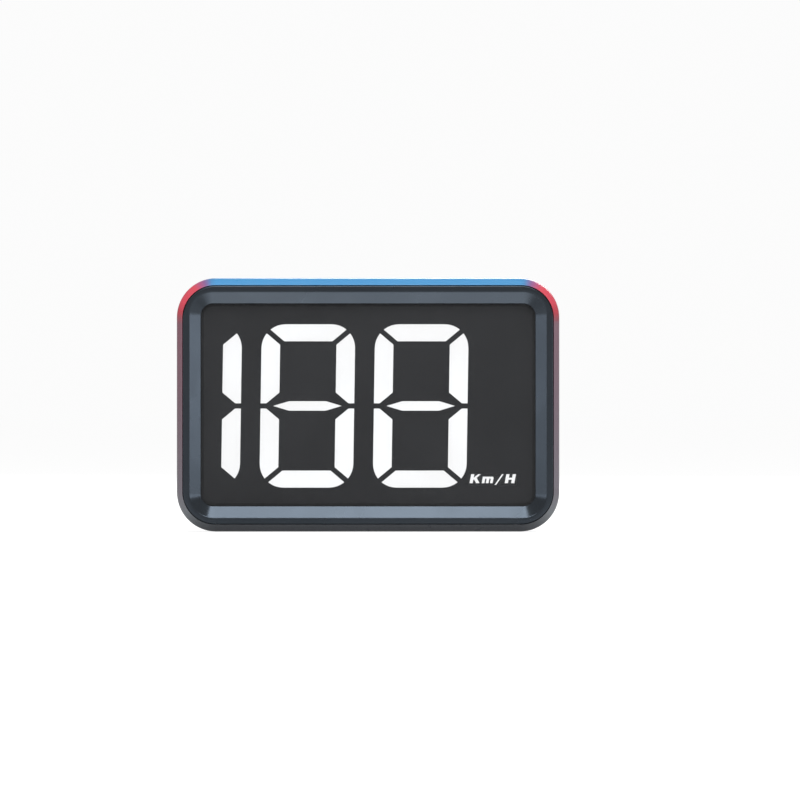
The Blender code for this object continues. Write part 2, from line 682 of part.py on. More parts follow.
def led_board(m):
    """The board behind the light wells, with its lit chips, and the screws that hold it."""
    rise = HEIGHT / 2 - WALL - BOARD_MARGIN
    outline = notched(WIDTH / 2 - WALL - BOARD_MARGIN, CENTRE_Z - rise, CENTRE_Z + rise)
    board = build("led_board", [slab(outline, LED_BOARD_FRONT, LED_BOARD_BACK)], m["board"])
    wide, tall, high = LED_CHIP
    chips = []
    for segment in (outline for digit in DIGITS for outline in lit_outlines(digit)):
        x = sum(p[0] for p in segment) / len(segment)
        z = sum(p[1] for p in segment) / len(segment)
        chips.append(block(x - wide / 2, x + wide / 2, LED_BOARD_FRONT - high, LED_BOARD_FRONT + EMBED,
                           z - tall / 2, z + tall / 2))  # fmt: skip
    add(board, "led_chips", chips)
    y0, y1 = LED_BOARD_FRONT - OVER, LED_BOARD_BACK + OVER
    half = ANTENNA_SIZE[0] / 2 + SLIDE
    cut(board, "antenna_notch", [block(-half, half, y0, y1, antenna_box()[4] - SLIDE, HEIGHT)])
    cut(board, "led_board_holes", [
        peg(place, y0, y1, SMALL_SCREW_RADIUS + FIT) for place in display_screw_places()
    ])  # fmt: skip
    for number, place in enumerate(display_screw_places(), 1):
        screw(f"display_screw_{number}", place, LED_BOARD_BACK + GAP, BOARD_THICKNESS + SMALL_SCREW_BITE,
              SMALL_SCREW_RADIUS, SMALL_HEAD_RADIUS, SMALL_HEAD_HEIGHT, m["screw"])  # fmt: skip
    x, rise, half, high = LED_DRIVER
    z = CENTRE_Z + rise
    y0 = LED_BOARD_BACK + GAP
    build("led_driver", [block(x - half, x + half, y0, y0 + high, z - half, z + half)], m["chip"])


# ================================================================ electronics
def antenna_box():
    """The patch antenna's box, flat under the top wall: x0, x1, y0, y1, z0, z1."""
    wide, deep, _ = ANTENNA_SIZE
    back = INNER_BACK_Y - FIT
    return -wide / 2, wide / 2, back - deep, back, ANTENNA_BASE, ANTENNA_TOP


def on_board(name, centre, size, material, behind=True, bevel=0.0):
    """A component lying on the main board, at its back or at its front."""
    x, z = centre
    wide, tall, high = size
    y0 = MAIN_BACK + GAP if behind else MAIN_FRONT - GAP - high
    shape = block(x - wide / 2, x + wide / 2, y0, y0 + high, z - tall / 2, z + tall / 2)
    return build(name, [shape], material, bevel=bevel)


def electronics(m):
    """Main board and what it carries, and the antenna."""
    antenna = antenna_box()
    bottom = INNER_INSET + BOARD_MARGIN * 2
    outline = notched(WIDTH / 2 - INNER_INSET - BOARD_MARGIN, bottom, antenna[4] - BOARD_MARGIN)
    board = build("main_board", [slab(outline, MAIN_FRONT, MAIN_BACK)], m["board"])
    cut(board, "main_board_holes", [
        peg(place, MAIN_FRONT - OVER, MAIN_BACK + OVER, SMALL_SCREW_RADIUS + FIT)
        for place in board_screw_places()
    ])  # fmt: skip
    for number, place in enumerate(board_screw_places(), 1):
        screw(f"board_screw_{number}", place, MAIN_FRONT - GAP, BOARD_THICKNESS + SMALL_SCREW_BITE,
              SMALL_SCREW_RADIUS, SMALL_HEAD_RADIUS, SMALL_HEAD_HEIGHT, m["screw"], aim=1)  # fmt: skip
    place, size = HEADER
    on_board("board_header", place, (*size, BOARD_SPACING - 2 * GAP), m["black"], behind=False)
    for name, place, size, material, bevel in FRONT_CHIPS:
        on_board(name, place, size, m[material], behind=False, bevel=bevel)

    build("gps_antenna", [block(*antenna)], m["ceramic"], bevel=0.0003)
    x0, x1, y0, y1, _, top = antenna
    side, front = ANTENNA_PAD_INSET
    build("antenna_pad", [
        block(x0 + side, x1 - side, y0 + front, y1 - side, top + GAP, top + GAP + ANTENNA_PAD)
    ], m["foam"])  # fmt: skip

    size = (SWITCH_SIZE, SWITCH_SIZE, SWITCH_HEIGHT)
    top = MAIN_BACK + GAP + SWITCH_HEIGHT
    for name, z in (("mode_switch", MODE_Z), ("set_switch", SET_Z)):
        switch = on_board(name, (CONTROL_X, z), size, m["black"], bevel=0.0002)
        cut(switch, f"{name}_bore", [
            peg((CONTROL_X, z), top - STEM_BORE, top + OVER, STEM_RADIUS + SLIDE)
        ])  # fmt: skip
    on_board("power_switch", (-CONTROL_X, SLIDER_Z), POWER_SWITCH, m["steel"], bevel=0.0002)
    place = (-CONTROL_X, BUZZER_Z)
    top = MAIN_BACK + GAP + BUZZER_HEIGHT
    buzzer = build("buzzer", [peg(place, MAIN_BACK + GAP, top, BUZZER_RADIUS, 20)], m["black"])
    cut(buzzer, "buzzer_mouth", [peg(place, top - BUZZER_MOUTH[1], top + OVER, BUZZER_MOUTH[0])])
    usb(m)


def stadium(half_y, half_z, x0, x1, steps=6):
    """A bar along X with a long round-ended section, lying on the main board at the port's height."""
    y = MAIN_BACK + GAP + USB_SIZE[1] / 2
    straight = half_z - half_y
    outline = []
    for end in (1, -1):
        for step in range(steps + 1):
            turn = math.pi * (step / steps + (0 if end > 0 else 1))
            z = USB_Z + end * straight + half_y * math.sin(turn)
            outline.append((y + half_y * math.cos(turn), z))
    return across(x0, x1, outline)


def usb(m):
    """The charging socket and its tongue, at the right side wall."""
    deep, high, wide = USB_SIZE
    mouth = WIDTH / 2 - USB_SINK
    floor = mouth - deep + USB_FLOOR
    socket = build("usb_socket", [stadium(high / 2, wide / 2, mouth - deep, mouth)], m["steel"])
    cut(socket, "usb_hollow", [
        stadium(high / 2 - USB_WALL, wide / 2 - USB_WALL, floor, mouth + OVER)
    ])  # fmt: skip
    back, thick, broad = USB_TONGUE
    y = MAIN_BACK + GAP + high / 2
    build("usb_tongue", [
        block(floor + GAP, mouth - back, y - thick / 2, y + thick / 2, USB_Z - broad / 2, USB_Z + broad / 2)
    ], m["black"])  # fmt: skip


def battery(m):
    """The pouch battery on its pad, its connector and its two leads."""
    x, y = BATTERY_HALF_X, MAIN_BACK + 2 * GAP + BATTERY_PAD
    z0, z1 = SOLAR_BOTTOM + BATTERY_MARGIN, SOLAR_TOP - BATTERY_MARGIN
    build("battery", [block(-x, x, y, y + BATTERY_THICKNESS, z0, z1)], m["silver"], bevel=0.0006)
    edge = BATTERY_PAD_MARGIN
    build("battery_pad", [
        block(edge - x, x - edge, MAIN_BACK + GAP, y - GAP, z0 + edge, z1 - edge)
    ], m["foam"])  # fmt: skip
    on_board("battery_connector", PLUG, PLUG_SIZE, m["white_plastic"])
    plug_x = PLUG[0] + PLUG_SIZE[0] / 2 + 3 * GAP
    plug_y = MAIN_BACK + GAP + PLUG_SIZE[2] / 2
    cell_y = y + BATTERY_THICKNESS / 2
    for name, side, tint in (("positive", 1, "red"), ("negative", -1, "black")):
        z = PLUG[1] + side * LEAD_PITCH / 2
        wire(f"battery_lead_{name}", [
            (-x - 3 * GAP, cell_y, z + side * 0.0012),
            (-x - 0.0014, (cell_y + plug_y) / 2, z + side * 0.0007),
            (-x - 0.0026, plug_y, z + side * 0.0001),
            (plug_x, plug_y, z),
        ], LEAD_RADIUS, m[tint], 3)  # fmt: skip


def panel_leads(m):
    """The solar panel's two leads, through the floor of its recess to the main board."""
    x = SOLAR_HALF_X - LEAD_EDGE
    for name, tint in (("positive", "red"), ("negative", "black")):
        z = SOLAR_TOP - LEAD_DROPS[name]
        wire(f"solar_lead_{name}", [
            (x, SOLAR_SEAT_Y - 3 * GAP, z),
            (x, SOLAR_SEAT_Y - FLOOR - 0.0008, z),
            (x - 0.0001, MAIN_BACK + 0.0016, z - 0.0004),
            (x - 0.0001, MAIN_BACK + 3 * GAP, z - 0.0004),
        ], LEAD_RADIUS, m[tint], 3)  # fmt: skip


def antenna_lead(m):
    """The antenna's thin coax and its socket on the front of the main board."""
    _, side, _, _, base, _ = antenna_box()
    x, rise, radius, high = COAX_SOCKET
    z = base + rise
    front = MAIN_FRONT - GAP - high
    build("antenna_socket", [peg((x, z), front, front + high, radius)], m["brass"])
    y = front + high / 2
    wire("antenna_cable", [
        (side + 3 * GAP, y, base + 0.0015),
        (side + 0.0014, y, base + 0.0012),
        (side + 0.0030, y, base - 0.0002),
        (x, y, z + radius + 3 * GAP),
    ], COAX_RADIUS, m["black"], 4)  # fmt: skip


# ================================================================ rear half of the case
def rear_cover(m):
    """The rear shell: recesses for the panel and the stand, holes for the controls, bosses and posts."""
    outside = inset(0, 0, CORNER_RADIUS)
    tongue = inset(TONGUE_INSET, TONGUE_INSET, CORNER_RADIUS - TONGUE_INSET)
    inside = inset(INNER_INSET, INNER_INSET, CORNER_RADIUS - INNER_INSET)
    back = [(BACK_Y - depth, inset(edge, edge, CORNER_RADIUS - edge)) for depth, edge in BACK_EDGES]
    cover = build("rear_cover", [lofted([
        *back,
        (PARTING_Y + PARTING_GAP, outside),
        (PARTING_Y + PARTING_GAP, tongue),
        (PARTING_Y - TONGUE_LENGTH, tongue),
        (PARTING_Y - TONGUE_LENGTH, inside),
        (INNER_BACK_Y, inside),
    ])], m["case"])  # fmt: skip
    seat = INNER_BACK_Y + EMBED
    side, low, high = SOLAR_HALF_X + FLOOR, SOLAR_BOTTOM - FLOOR, SOLAR_TOP + FLOOR
    add(cover, "solar_floor", [block(-side, side, SOLAR_FLOOR_Y, seat, low, high)])
    side = STAND_RECESS_HALF + WALL
    add(cover, "stand_box", [
        block(-side, side, STAND_RECESS_Y - FLOOR, seat, WALL / 2, STAND_TOP + FLOOR)
    ])  # fmt: skip
    columns = [
        peg(place, BOSS_JOIN_Y + FIT, seat, BOSS_RADIUS, 16) for place in case_screw_places()
    ]  # fmt: skip
    columns += [peg(place, MAIN_BACK + GAP, seat, POST_RADIUS) for place in board_screw_places()]
    add(cover, "columns", columns)

    side = SOLAR_HALF_X
    cut(cover, "solar_recess", [
        block(-side, side, SOLAR_SEAT_Y - GAP, BACK_Y + OVER, SOLAR_BOTTOM, SOLAR_TOP)
    ])  # fmt: skip
    side = STAND_RECESS_HALF
    cut(cover, "stand_recess", [block(-side, side, STAND_RECESS_Y, BACK_Y + OVER, -OVER, STAND_TOP)])
    scoop = ((0, PULL_RADIUS), (PULL_WIDTH, PULL_RADIUS))
    cut(cover, "finger_pull", [turned((-PULL_WIDTH / 2, BACK_Y, STAND_TOP), (1, 0, 0), scoop)])
    cut(cover, "rear_holes", rear_holes())
    slider_openings(cover)
    y0, y1 = MAIN_BACK - FIT, MAIN_BACK + USB_SIZE[1] + 2 * FIT
    half = USB_SIZE[2] / 2 + FIT
    x0, x1 = WIDTH / 2 - INNER_INSET - OVER, WIDTH / 2 + OVER
    cut(cover, "usb_window", [block(x0, x1, y0, y1, USB_Z - half, USB_Z + half)])
    cut(cover, "pin_bores", [
        axle(side * (STAND_RECESS_HALF - OVER), side * (STAND_RECESS_HALF + WALL + OVER), BORE)
        for side in (-1, 1)
    ])  # fmt: skip

    head_y = BACK_Y - COUNTERBORE_DEPTH + GAP
    for number, place in enumerate(case_screw_places(), 1):
        screw(f"case_screw_{number}", place, head_y, head_y - BOSS_JOIN_Y + SCREW_BITE,
              SCREW_RADIUS, SCREW_HEAD_RADIUS, SCREW_HEAD_HEIGHT, m["screw"])  # fmt: skip
    side = SOLAR_HALF_X - FIT
    build("solar_panel", [
        block(-side, side, SOLAR_SEAT_Y, BACK_Y - SOLAR_SINK, SOLAR_BOTTOM + FIT, SOLAR_TOP - FIT)
    ], m["solar"])  # fmt: skip


def rear_holes():
    """Cutters for the screws, the buttons, the buzzer's vents and the solar leads."""
    holes = []
    sink = BACK_Y - COUNTERBORE_DEPTH - BOSS_JOIN_Y + OVER
    shank = SCREW_RADIUS + 2 * FIT
    for x, z in case_screw_places():
        profile = ((0, shank), (sink, shank), (sink, COUNTERBORE_RADIUS),
                   (sink + COUNTERBORE_DEPTH + OVER, COUNTERBORE_RADIUS))  # fmt: skip
        holes.append(turned((x, BOSS_JOIN_Y - OVER, z), (0, 1, 0), profile))
    end = MAIN_BACK + GAP + SMALL_SCREW_BITE + SLIDE
    for place in board_screw_places():
        holes.append(peg(place, MAIN_BACK - OVER, end, SMALL_SCREW_RADIUS + PIN_FIT))
    y0, y1 = INNER_BACK_Y - OVER, BACK_Y + OVER
    for z in (MODE_Z, SET_Z):
        holes.append(peg((CONTROL_X, z), y0, y1, BUTTON_RADIUS + SLIDE, 20))
    for vent in range(VENT_COUNT):
        turn = 2 * math.pi * vent / VENT_COUNT
        place = (-CONTROL_X + VENT_RING * math.cos(turn), BUZZER_Z + VENT_RING * math.sin(turn))
        holes.append(peg(place, y0, y1, VENT_RADIUS, 8))
    for drop in LEAD_DROPS.values():
        place = (SOLAR_HALF_X - LEAD_EDGE, SOLAR_TOP - drop)
        holes.append(peg(place, SOLAR_FLOOR_Y - OVER, SOLAR_SEAT_Y + OVER, LEAD_RADIUS + FIT))
    return holes


def slider_openings(cover):
    """A shallow pocket in the back and the slot that the slider's knob runs in."""
    reach = (SLIDER_KNOB[0] + SLIDER_TRAVEL) / 2 + SLIDE
    half = SLIDER_KNOB[1] / 2 + SLIDE
    x, z, edge = -CONTROL_X, SLIDER_Z, SLIDER_POCKET_MARGIN
    cut(cover, "slider_pocket", [
        block(x - reach - edge, x + reach + edge, BACK_Y - SLIDER_POCKET, BACK_Y + OVER,
              z - half - edge, z + half + edge)
    ])  # fmt: skip
    cut(cover, "slider_slot", [
        block(x - reach, x + reach, INNER_BACK_Y - OVER, BACK_Y, z - half, z + half)
    ])  # fmt: skip


# ================================================================ stand
def stand(m):
    """Fold-out foot with its pins, washers and adhesive pad."""
    half, steps = STAND_THICKNESS / 2, 10
    y, z = STAND_AXIS.y, STAND_AXIS.z
    top = STAND_TOP - SLIDE
    turns = [math.pi * (1 + step / steps) for step in range(steps + 1)]
    outline = [(y + half * math.cos(turn), z + half * math.sin(turn)) for turn in turns]
    outline += [(y + half, top - FOOT_CHAMFER), (y + half - FOOT_CHAMFER, top), (y - half, top)]
    shape = across(-STAND_HALF_X, STAND_HALF_X, outline)
    foot = build("stand_foot", [shape], m["case"], origin=STAND_AXIS)
    end = STAND_RECESS_HALF + PIN_IN_COVER
    cut(foot, "foot_bores", [
        axle(side * (end - PIN_LENGTH - SLIDE), side * (STAND_HALF_X + OVER), BORE) for side in (-1, 1)
    ])  # fmt: skip
    half_x = STAND_HALF_X - PAD_MARGIN
    half_z = (top - z) / 2 - PAD_MARGIN
    pad_outline = rounded(half_x, half_z, PAD_CORNER, (0.0, (top + z) / 2), 4)
    pad_y = y + half + GAP
    shape = slab(pad_outline, pad_y, pad_y + PAD_THICKNESS)
    pad = build("adhesive_pad", [shape], m["pad"], origin=STAND_AXIS)
    hold(empty("stand_axis", STAND_AXIS), foot, pad)
    for name, side in (("left", -1), ("right", 1)):
        pin = axle(side * end, side * (end - PIN_LENGTH), PIN_RADIUS)
        build(f"hinge_pin_{name}", [pin], m["steel"])
        x0 = side * (STAND_HALF_X + FIT)
        x1 = side * (STAND_HALF_X + FIT + WASHER_THICKNESS)
        washer = build(f"hinge_washer_{name}", [axle(x0, x1, half - GAP, 16)], m["white_plastic"])
        bore = axle(x0 - side * OVER, x1 + side * OVER, BORE)
        cut(washer, f"washer_bore_{name}", [bore])


# ================================================================ controls
def buttons(m):
    """Two push buttons, each with its origin on its own axis."""
    start = MAIN_BACK + GAP + SWITCH_HEIGHT - STEM_DEPTH
    top = INNER_BACK_Y - GAP - start
    crown = BACK_Y + BUTTON_PROUD
    inwards, down = BUTTON_CHAMFER
    wide = BUTTON_RADIUS + BUTTON_RIM
    profile = (
        (0, STEM_RADIUS), (top - BUTTON_FLANGE, STEM_RADIUS), (top - BUTTON_FLANGE, wide), (top, wide),
        (top, BUTTON_RADIUS), (crown - start - down, BUTTON_RADIUS), (crown - start, BUTTON_RADIUS - inwards),
    )  # fmt: skip
    for name, z in (("mode_button", MODE_Z), ("set_button", SET_Z)):
        shape = turned((CONTROL_X, start, z), (0, 1, 0), profile, 20)
        origin = (CONTROL_X, crown, z)
        button = build(name, [shape], m["button"], origin=origin)
        hold(empty(f"{name}_axis", origin), button)


def power_slider(m):
    """The power slider: a plate behind the back wall and a grooved knob that comes through its slot."""
    half_x, half_z = SLIDER_KNOB[0] / 2, SLIDER_KNOB[1] / 2
    x, z = -CONTROL_X - SLIDER_TRAVEL / 2, SLIDER_Z
    origin = (x, INNER_BACK_Y, z)
    top = INNER_BACK_Y - GAP
    side, rise = half_x + SLIDER_TRAVEL, half_z + SLIDER_PLATE
    plate = block(x - side, x + side, top - SLIDER_PLATE, top, z - rise, z + rise)
    slider = build("power_slider", [plate], m["button"], origin=origin)
    start = MAIN_BACK + GAP + POWER_SWITCH[2] + SLIDE
    knob = block(x - half_x, x + half_x, start, BACK_Y - SLIDE, z - half_z, z + half_z)
    add(slider, "slider_knob", [knob])
    y0, y1 = BACK_Y - SLIDE - GRIP_DEPTH, BACK_Y + OVER
    middles = [x + i * GRIP_PITCH for i in (-1, 0, 1)]
    cut(slider, "slider_grip", [
        block(g - GRIP_PITCH / 4, g + GRIP_PITCH / 4, y0, y1, z - 2 * half_z, z + 2 * half_z)
        for g in middles
    ])  # fmt: skip
    hold(empty("power_slider_axis", origin), slider)


def main():
    """Clears the scene and builds every sub-assembly."""
    for thing in list(bpy.data.objects):
        bpy.data.objects.remove(thing, do_unlink=True)
    m = {
        "case": paint("case", (0.036, 0.040, 0.046), 0.45),
        "rim": paint("rim", (0.13, 0.38, 0.70), 0.35, 0.3),
        "lens": paint("lens", (0.035, 0.037, 0.040), 0.2),
        "mask": paint("mask", (0.035, 0.037, 0.040), 0.7),
        "lit": paint("lit", (1.0, 1.0, 1.0), 0.5),
        "white_plastic": paint("white_plastic", (0.82, 0.83, 0.82), 0.5),
        "foam": paint("foam", (0.02, 0.02, 0.02), 0.9),
        "board": paint("board", (0.02, 0.16, 0.07), 0.5),
        "black": paint("black", (0.02, 0.02, 0.02), 0.5),
        "chip": paint("chip", (0.03, 0.03, 0.03), 0.4),
        "steel": paint("steel", (0.60, 0.61, 0.62), 0.3, 1.0),
        "screw": paint("screw", (0.10, 0.10, 0.11), 0.35, 1.0),
        "brass": paint("brass", (0.80, 0.60, 0.25), 0.3, 1.0),
        "ceramic": paint("ceramic", (0.75, 0.70, 0.60), 0.4),
        "silver": paint("silver", (0.55, 0.56, 0.58), 0.35, 0.6),
        "solar": paint("solar", (0.01, 0.02, 0.06), 0.15),
        "red": paint("red", (0.55, 0.02, 0.02), 0.5),
        "pad": paint("pad", (0.35, 0.02, 0.02), 0.6),
        "button": paint("button", (0.05, 0.055, 0.06), 0.5),
    }
    front_half(m)
    display(m)
    electronics(m)
    battery(m)
    panel_leads(m)
    antenna_lead(m)
    rear_cover(m)
    stand(m)
    buttons(m)
    power_slider(m)


main()
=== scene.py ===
"""Looks of a pocket-size solar speed display, built round its fixed CAD frame.

Metres, +Z up. The display faces -Y, the solar panel faces +Y, and the case stands on z = 0.
"""

import logging
import math
from collections.abc import Sequence
from dataclasses import dataclass, field
from enum import Enum

import bmesh
import bpy
import numpy as np
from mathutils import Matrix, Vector


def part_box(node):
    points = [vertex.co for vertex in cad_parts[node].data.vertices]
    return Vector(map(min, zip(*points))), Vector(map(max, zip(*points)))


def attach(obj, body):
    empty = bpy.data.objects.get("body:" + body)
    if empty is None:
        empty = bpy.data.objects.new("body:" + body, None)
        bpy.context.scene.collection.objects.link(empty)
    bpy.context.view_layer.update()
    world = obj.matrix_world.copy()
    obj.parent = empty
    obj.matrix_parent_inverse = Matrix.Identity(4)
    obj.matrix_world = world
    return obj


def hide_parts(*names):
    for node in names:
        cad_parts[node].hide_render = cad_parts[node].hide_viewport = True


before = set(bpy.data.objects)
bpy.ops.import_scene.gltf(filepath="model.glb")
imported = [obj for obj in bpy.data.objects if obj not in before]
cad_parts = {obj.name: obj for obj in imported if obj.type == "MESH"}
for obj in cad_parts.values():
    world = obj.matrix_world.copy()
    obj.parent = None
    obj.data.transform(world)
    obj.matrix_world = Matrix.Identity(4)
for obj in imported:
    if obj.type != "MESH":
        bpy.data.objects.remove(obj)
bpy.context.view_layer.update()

log = logging.getLogger("speed_display")

Array = np.ndarray
Colour = tuple[float, float, float]
Place = tuple[float, float]
Inset = tuple[float, float, float]
Piece = bpy.types.Object
Material = bpy.types.Material
Socket = bpy.types.NodeSocket
Node = bpy.types.Node
Tree = bpy.types.ShaderNodeTree
Inputs = dict[int | str, object]


FOUR = (1, 2, 3, 4)
PINS = ("hinge_pin_left", "hinge_pin_right")
PIN_RADIUS = 0.00065
OVERLAP = 0.0003
CLEARANCE = 0.00005
CASE_CORNER = 0.0082
INNER_Y = 0.0071


# ================================================================ surfaces
# A ring's row is two insets, a corner radius and a depth. In a distance each inset's square counts for half
# and the radius not at all.
ROW_WEIGHTS = np.array([math.sqrt(0.5), math.sqrt(0.5), 0.0, 1.0])


class Operation(Enum):
    """What a carving tool does to the piece that it meets."""

    JOIN = "UNION"
    CUT = "DIFFERENCE"


class Way(Enum):
    """Which world axes a carried outline's first, second and carrying directions follow."""

    ALONG_X = (1, 2, 0)
    ALONG_Y = (0, 2, 1)
    ALONG_Z = (0, 1, 2)


def softened(
    points: Array, edge: float | Sequence[float], closed: bool, steps: int = 4, weights: Array | None = None
) -> Array:
    """Rounds the corners of a profile.

    Each corner C gives way to the curve (1-t)^2 A + 2t(1-t) C + t^2 B, where A and B lie towards its two
    neighbours, at the edge's distance and never past 45% of the way.

    Args:
        points: (n, k) corners in order.
        edge: distance at which the rounding starts, one for all corners or one each.
        closed: whether the last corner joins the first; if not, both ends stay as they are.
        steps: spans of each rounded corner.
        weights: how much each column counts in a distance, all alike if left out.

    Returns:
        (n * (steps + 1), k) points, or two fewer roundings when the profile is open.
    """
    scale = np.ones(points.shape[1]) if weights is None else weights
    back, ahead = np.roll(points, 1, axis=0) - points, np.roll(points, -1, axis=0) - points
    reach = np.broadcast_to(np.asarray(edge, float), len(points))[:, None]

    def towards(step: Array) -> Array:
        """The point on one neighbour's side where the rounding starts."""
        length = np.maximum(np.linalg.norm(step * scale, axis=1, keepdims=True), 1e-12)
        return points + step * np.minimum(reach / length, 0.45)

    t = np.linspace(0.0, 1.0, steps + 1)[None, :, None]
    start, end = towards(back)[:, None], towards(ahead)[:, None]
    curve = (1 - t) ** 2 * start + 2 * t * (1 - t) * points[:, None] + t**2 * end
    if closed:
        return curve.reshape(-1, points.shape[1])
    inner = curve[1:-1].reshape(-1, points.shape[1])
    return np.concatenate([points[:1], inner, points[-1:]])


def corner_turns(steps: int) -> tuple[Array, Array]:
    """Signs of each corner point's centre, and its angle, over a quarter turn a corner."""
    quarter = np.repeat(np.arange(4), steps + 1)
    turn = (quarter + np.tile(np.linspace(0, 1, steps + 1), 4)) * np.pi / 2
    return np.array([(1, 1), (-1, 1), (-1, -1), (1, -1)])[quarter], turn


def rounded_rectangle(half: Place, radius: float, centre: Place = (0.0, 0.0), steps: int = 8) -> Array:
    """Outline of a rectangle with round corners.

    A corner's points are its centre, sign * (half - radius), plus radius times (cos t, sin t), with t over
    its own quarter turn.

    Args:
        half: half width and half height.
        radius: of the corners.
        centre: of the rectangle.
        steps: spans of each corner.

    Returns:
        (m, 2) points, counter-clockwise.
    """
    signs, turn = corner_turns(steps)
    arcs = np.stack([np.cos(turn), np.sin(turn)], axis=1)
    return np.array(centre) + signs * (np.array(half) - radius) + radius * arcs


def inwards(outline: Array) -> Array:
    """Unit normals that point into a counter-clockwise outline, from each point's two neighbours."""
    along = np.roll(outline, -1, axis=0) - np.roll(outline, 1, axis=0)
    along /= np.linalg.norm(along, axis=1, keepdims=True)
    return np.stack([-along[:, 1], along[:, 0]], axis=1)


def carried(outline: Array, stations: Array, way: Way) -> Array:
    """An outline carried along an axis, and moved in along its normals by a different amount at each station.

    Args:
        outline: (m, 2) points, counter-clockwise.
        stations: (n, 2) distances: along the axis, and inwards.
        way: the world axes of the outline's two directions and of the path.

    Returns:
        (n, m, 3) grid of points.
    """
    flat = outline[None] + inwards(outline)[None] * stations[:, 1, None, None]
    grid = np.empty((len(stations), len(outline), 3))
    first, second, path = way.value
    grid[..., first], grid[..., second] = flat[..., 0], flat[..., 1]
    grid[..., path] = stations[:, 0, None]
    return grid


def block_stations(low: float, high: float, edge: float, steps: int = 4) -> Array:
    """Stations of a block between two depths, whose two rims are rounded over by edge.

    The filled ends lie 1.15 times the edge in, just past the rounding.
    """
    end = 1.15 * edge
    corners = np.array([[low, end], [low, 0.0], [high, 0.0], [high, end]])
    return softened(corners, edge, False, steps)


def block(
    low: Sequence[float], high: Sequence[float], way: Way, corner: float, edge: float = 0.0, steps: int = 6
) -> Array:
    """A rounded rectangle carried between two opposite corners of a box.

    Args:
        low: lowest corner of the box.
        high: highest corner of the box.
        way: the world axes of the rectangle, and of its path.
        corner: radius of the rectangle's corners.
        edge: how far both rims are rounded over.
        steps: spans of each corner.

    Returns:
        (n, m, 3) grid of points.
    """
    first, second, path = way.value
    half = ((high[first] - low[first]) / 2, (high[second] - low[second]) / 2)
    middle = ((high[first] + low[first]) / 2, (high[second] + low[second]) / 2)
    stations = np.array([(low[path], 0.0), (high[path], 0.0)])
    if edge:
        stations = block_stations(low[path], high[path], edge)
    return carried(rounded_rectangle(half, corner, middle, steps), stations, way)


def spun(profile: Array, centre: Sequence[float], way: Way, steps: int = 48) -> Array:
    """A profile spun round an axis.

    A point is centre + distance along the axis + radius * (cos t, sin t) across it, with t over a full turn.

    Args:
        profile: (n, 2): distance along the axis, and radius.
        centre: the point on the axis where distance is 0.
        way: the world axes across the axis, and along it.
        steps: spans of the turn.

    Returns:
        (n, steps, 3) grid of points.
    """
    turn = np.arange(steps) * 2 * np.pi / steps
    grid = np.empty((len(profile), steps, 3))
    first, second, path = way.value
    grid[..., first] = centre[first] + profile[:, 1, None] * np.cos(turn)
    grid[..., second] = centre[second] + profile[:, 1, None] * np.sin(turn)
    grid[..., path] = centre[path] + profile[:, 0, None]
    return grid


def bar(low: float, high: float, radius: float, centre: Sequence[float], way: Way, steps: int = 40) -> Array:
    """A round bar between two distances along an axis, as a grid of two turns."""
    return spun(np.array([(low, radius), (high, radius)]), centre, way, steps)


@dataclass(frozen=True)
class CaseOutline:
    """Front outline of the case, and the outlines inside it that run parallel to it."""

    half: Place = (0.0400, 0.0265)
    centre_z: float = 0.0265
    corner_steps: int = 20

    def ring(self, rows: Array) -> Array:
        """Rounded rectangles of a profile that is carried round the case.

        A row's corner centres lie at sign * (half - inset - radius), and its points a radius from them.

        Args:
            rows: (n, 4): inset at the sides, inset at the ends, corner radius, depth.

        Returns:
            (n, m, 3) grid of points.
        """
        signs, turn = corner_turns(self.corner_steps)
        across, up = signs.T
        side, end, radius, depth = (rows[:, i, None] for i in range(4))
        x = across * (self.half[0] - side - radius) + radius * np.cos(turn)
        z = self.centre_z + up * (self.half[1] - end - radius) + radius * np.sin(turn)
        return np.stack([x, np.broadcast_to(depth, x.shape), z], axis=-1)


# ================================================================ meshes and objects
def closed_mesh(name: str, grids: Sequence[Array], ring: bool = False) -> Piece:
    """One object over one or more grids of points, each a closed skin that faces out.

    Args:
        name: of the object.
        grids: (n, m, 3) grids; each row closes on itself.
        ring: whether the last row joins the first; if not, the two end rows are filled.

    Returns:
        The object, smooth-shaded with area-weighted normals.
    """
    points: list[Array] = []
    faces: list[Sequence[int]] = []
    start = 0
    for grid in grids:
        rows, columns = grid.shape[:2]
        index = start + np.arange(rows * columns).reshape(rows, columns)
        lower = index if ring else index[:-1]
        upper = np.roll(index, -1, axis=0) if ring else index[1:]
        quads = [lower, np.roll(lower, -1, axis=1), np.roll(upper, -1, axis=1), upper]
        faces += np.stack(quads, axis=-1).reshape(-1, 4).tolist()
        if not ring:
            faces += [index[0].tolist(), index[-1].tolist()]
        points.append(grid.reshape(-1, 3))
        start += rows * columns
    mesh = bpy.data.meshes.new(name)
    mesh.from_pydata(np.concatenate(points).tolist(), [], faces)
    face_out(mesh)
    piece = bpy.data.objects.new(name, mesh)
    bpy.context.scene.collection.objects.link(piece)
    smooth(piece)
    return piece


def face_out(mesh: bpy.types.Mesh) -> None:
    """Merges a mesh's doubles and turns all its faces outwards."""
    shape = bmesh.new()
    shape.from_mesh(mesh)
    bmesh.ops.remove_doubles(shape, verts=shape.verts, dist=1e-7)
    bmesh.ops.recalc_face_normals(shape, faces=shape.faces)
    shape.to_mesh(mesh)
    shape.free()


def smooth(piece: Piece, sharp: float = 50.0) -> None:
    """Smooth shading that stays flat on large faces and breaks at edges over sharp degrees."""
    piece.data.shade_smooth()
    piece.data.set_sharp_from_angle(angle=math.radians(sharp))
    weighted = piece.modifiers.new("weighted", "WEIGHTED_NORMAL")
    weighted.keep_sharp = True


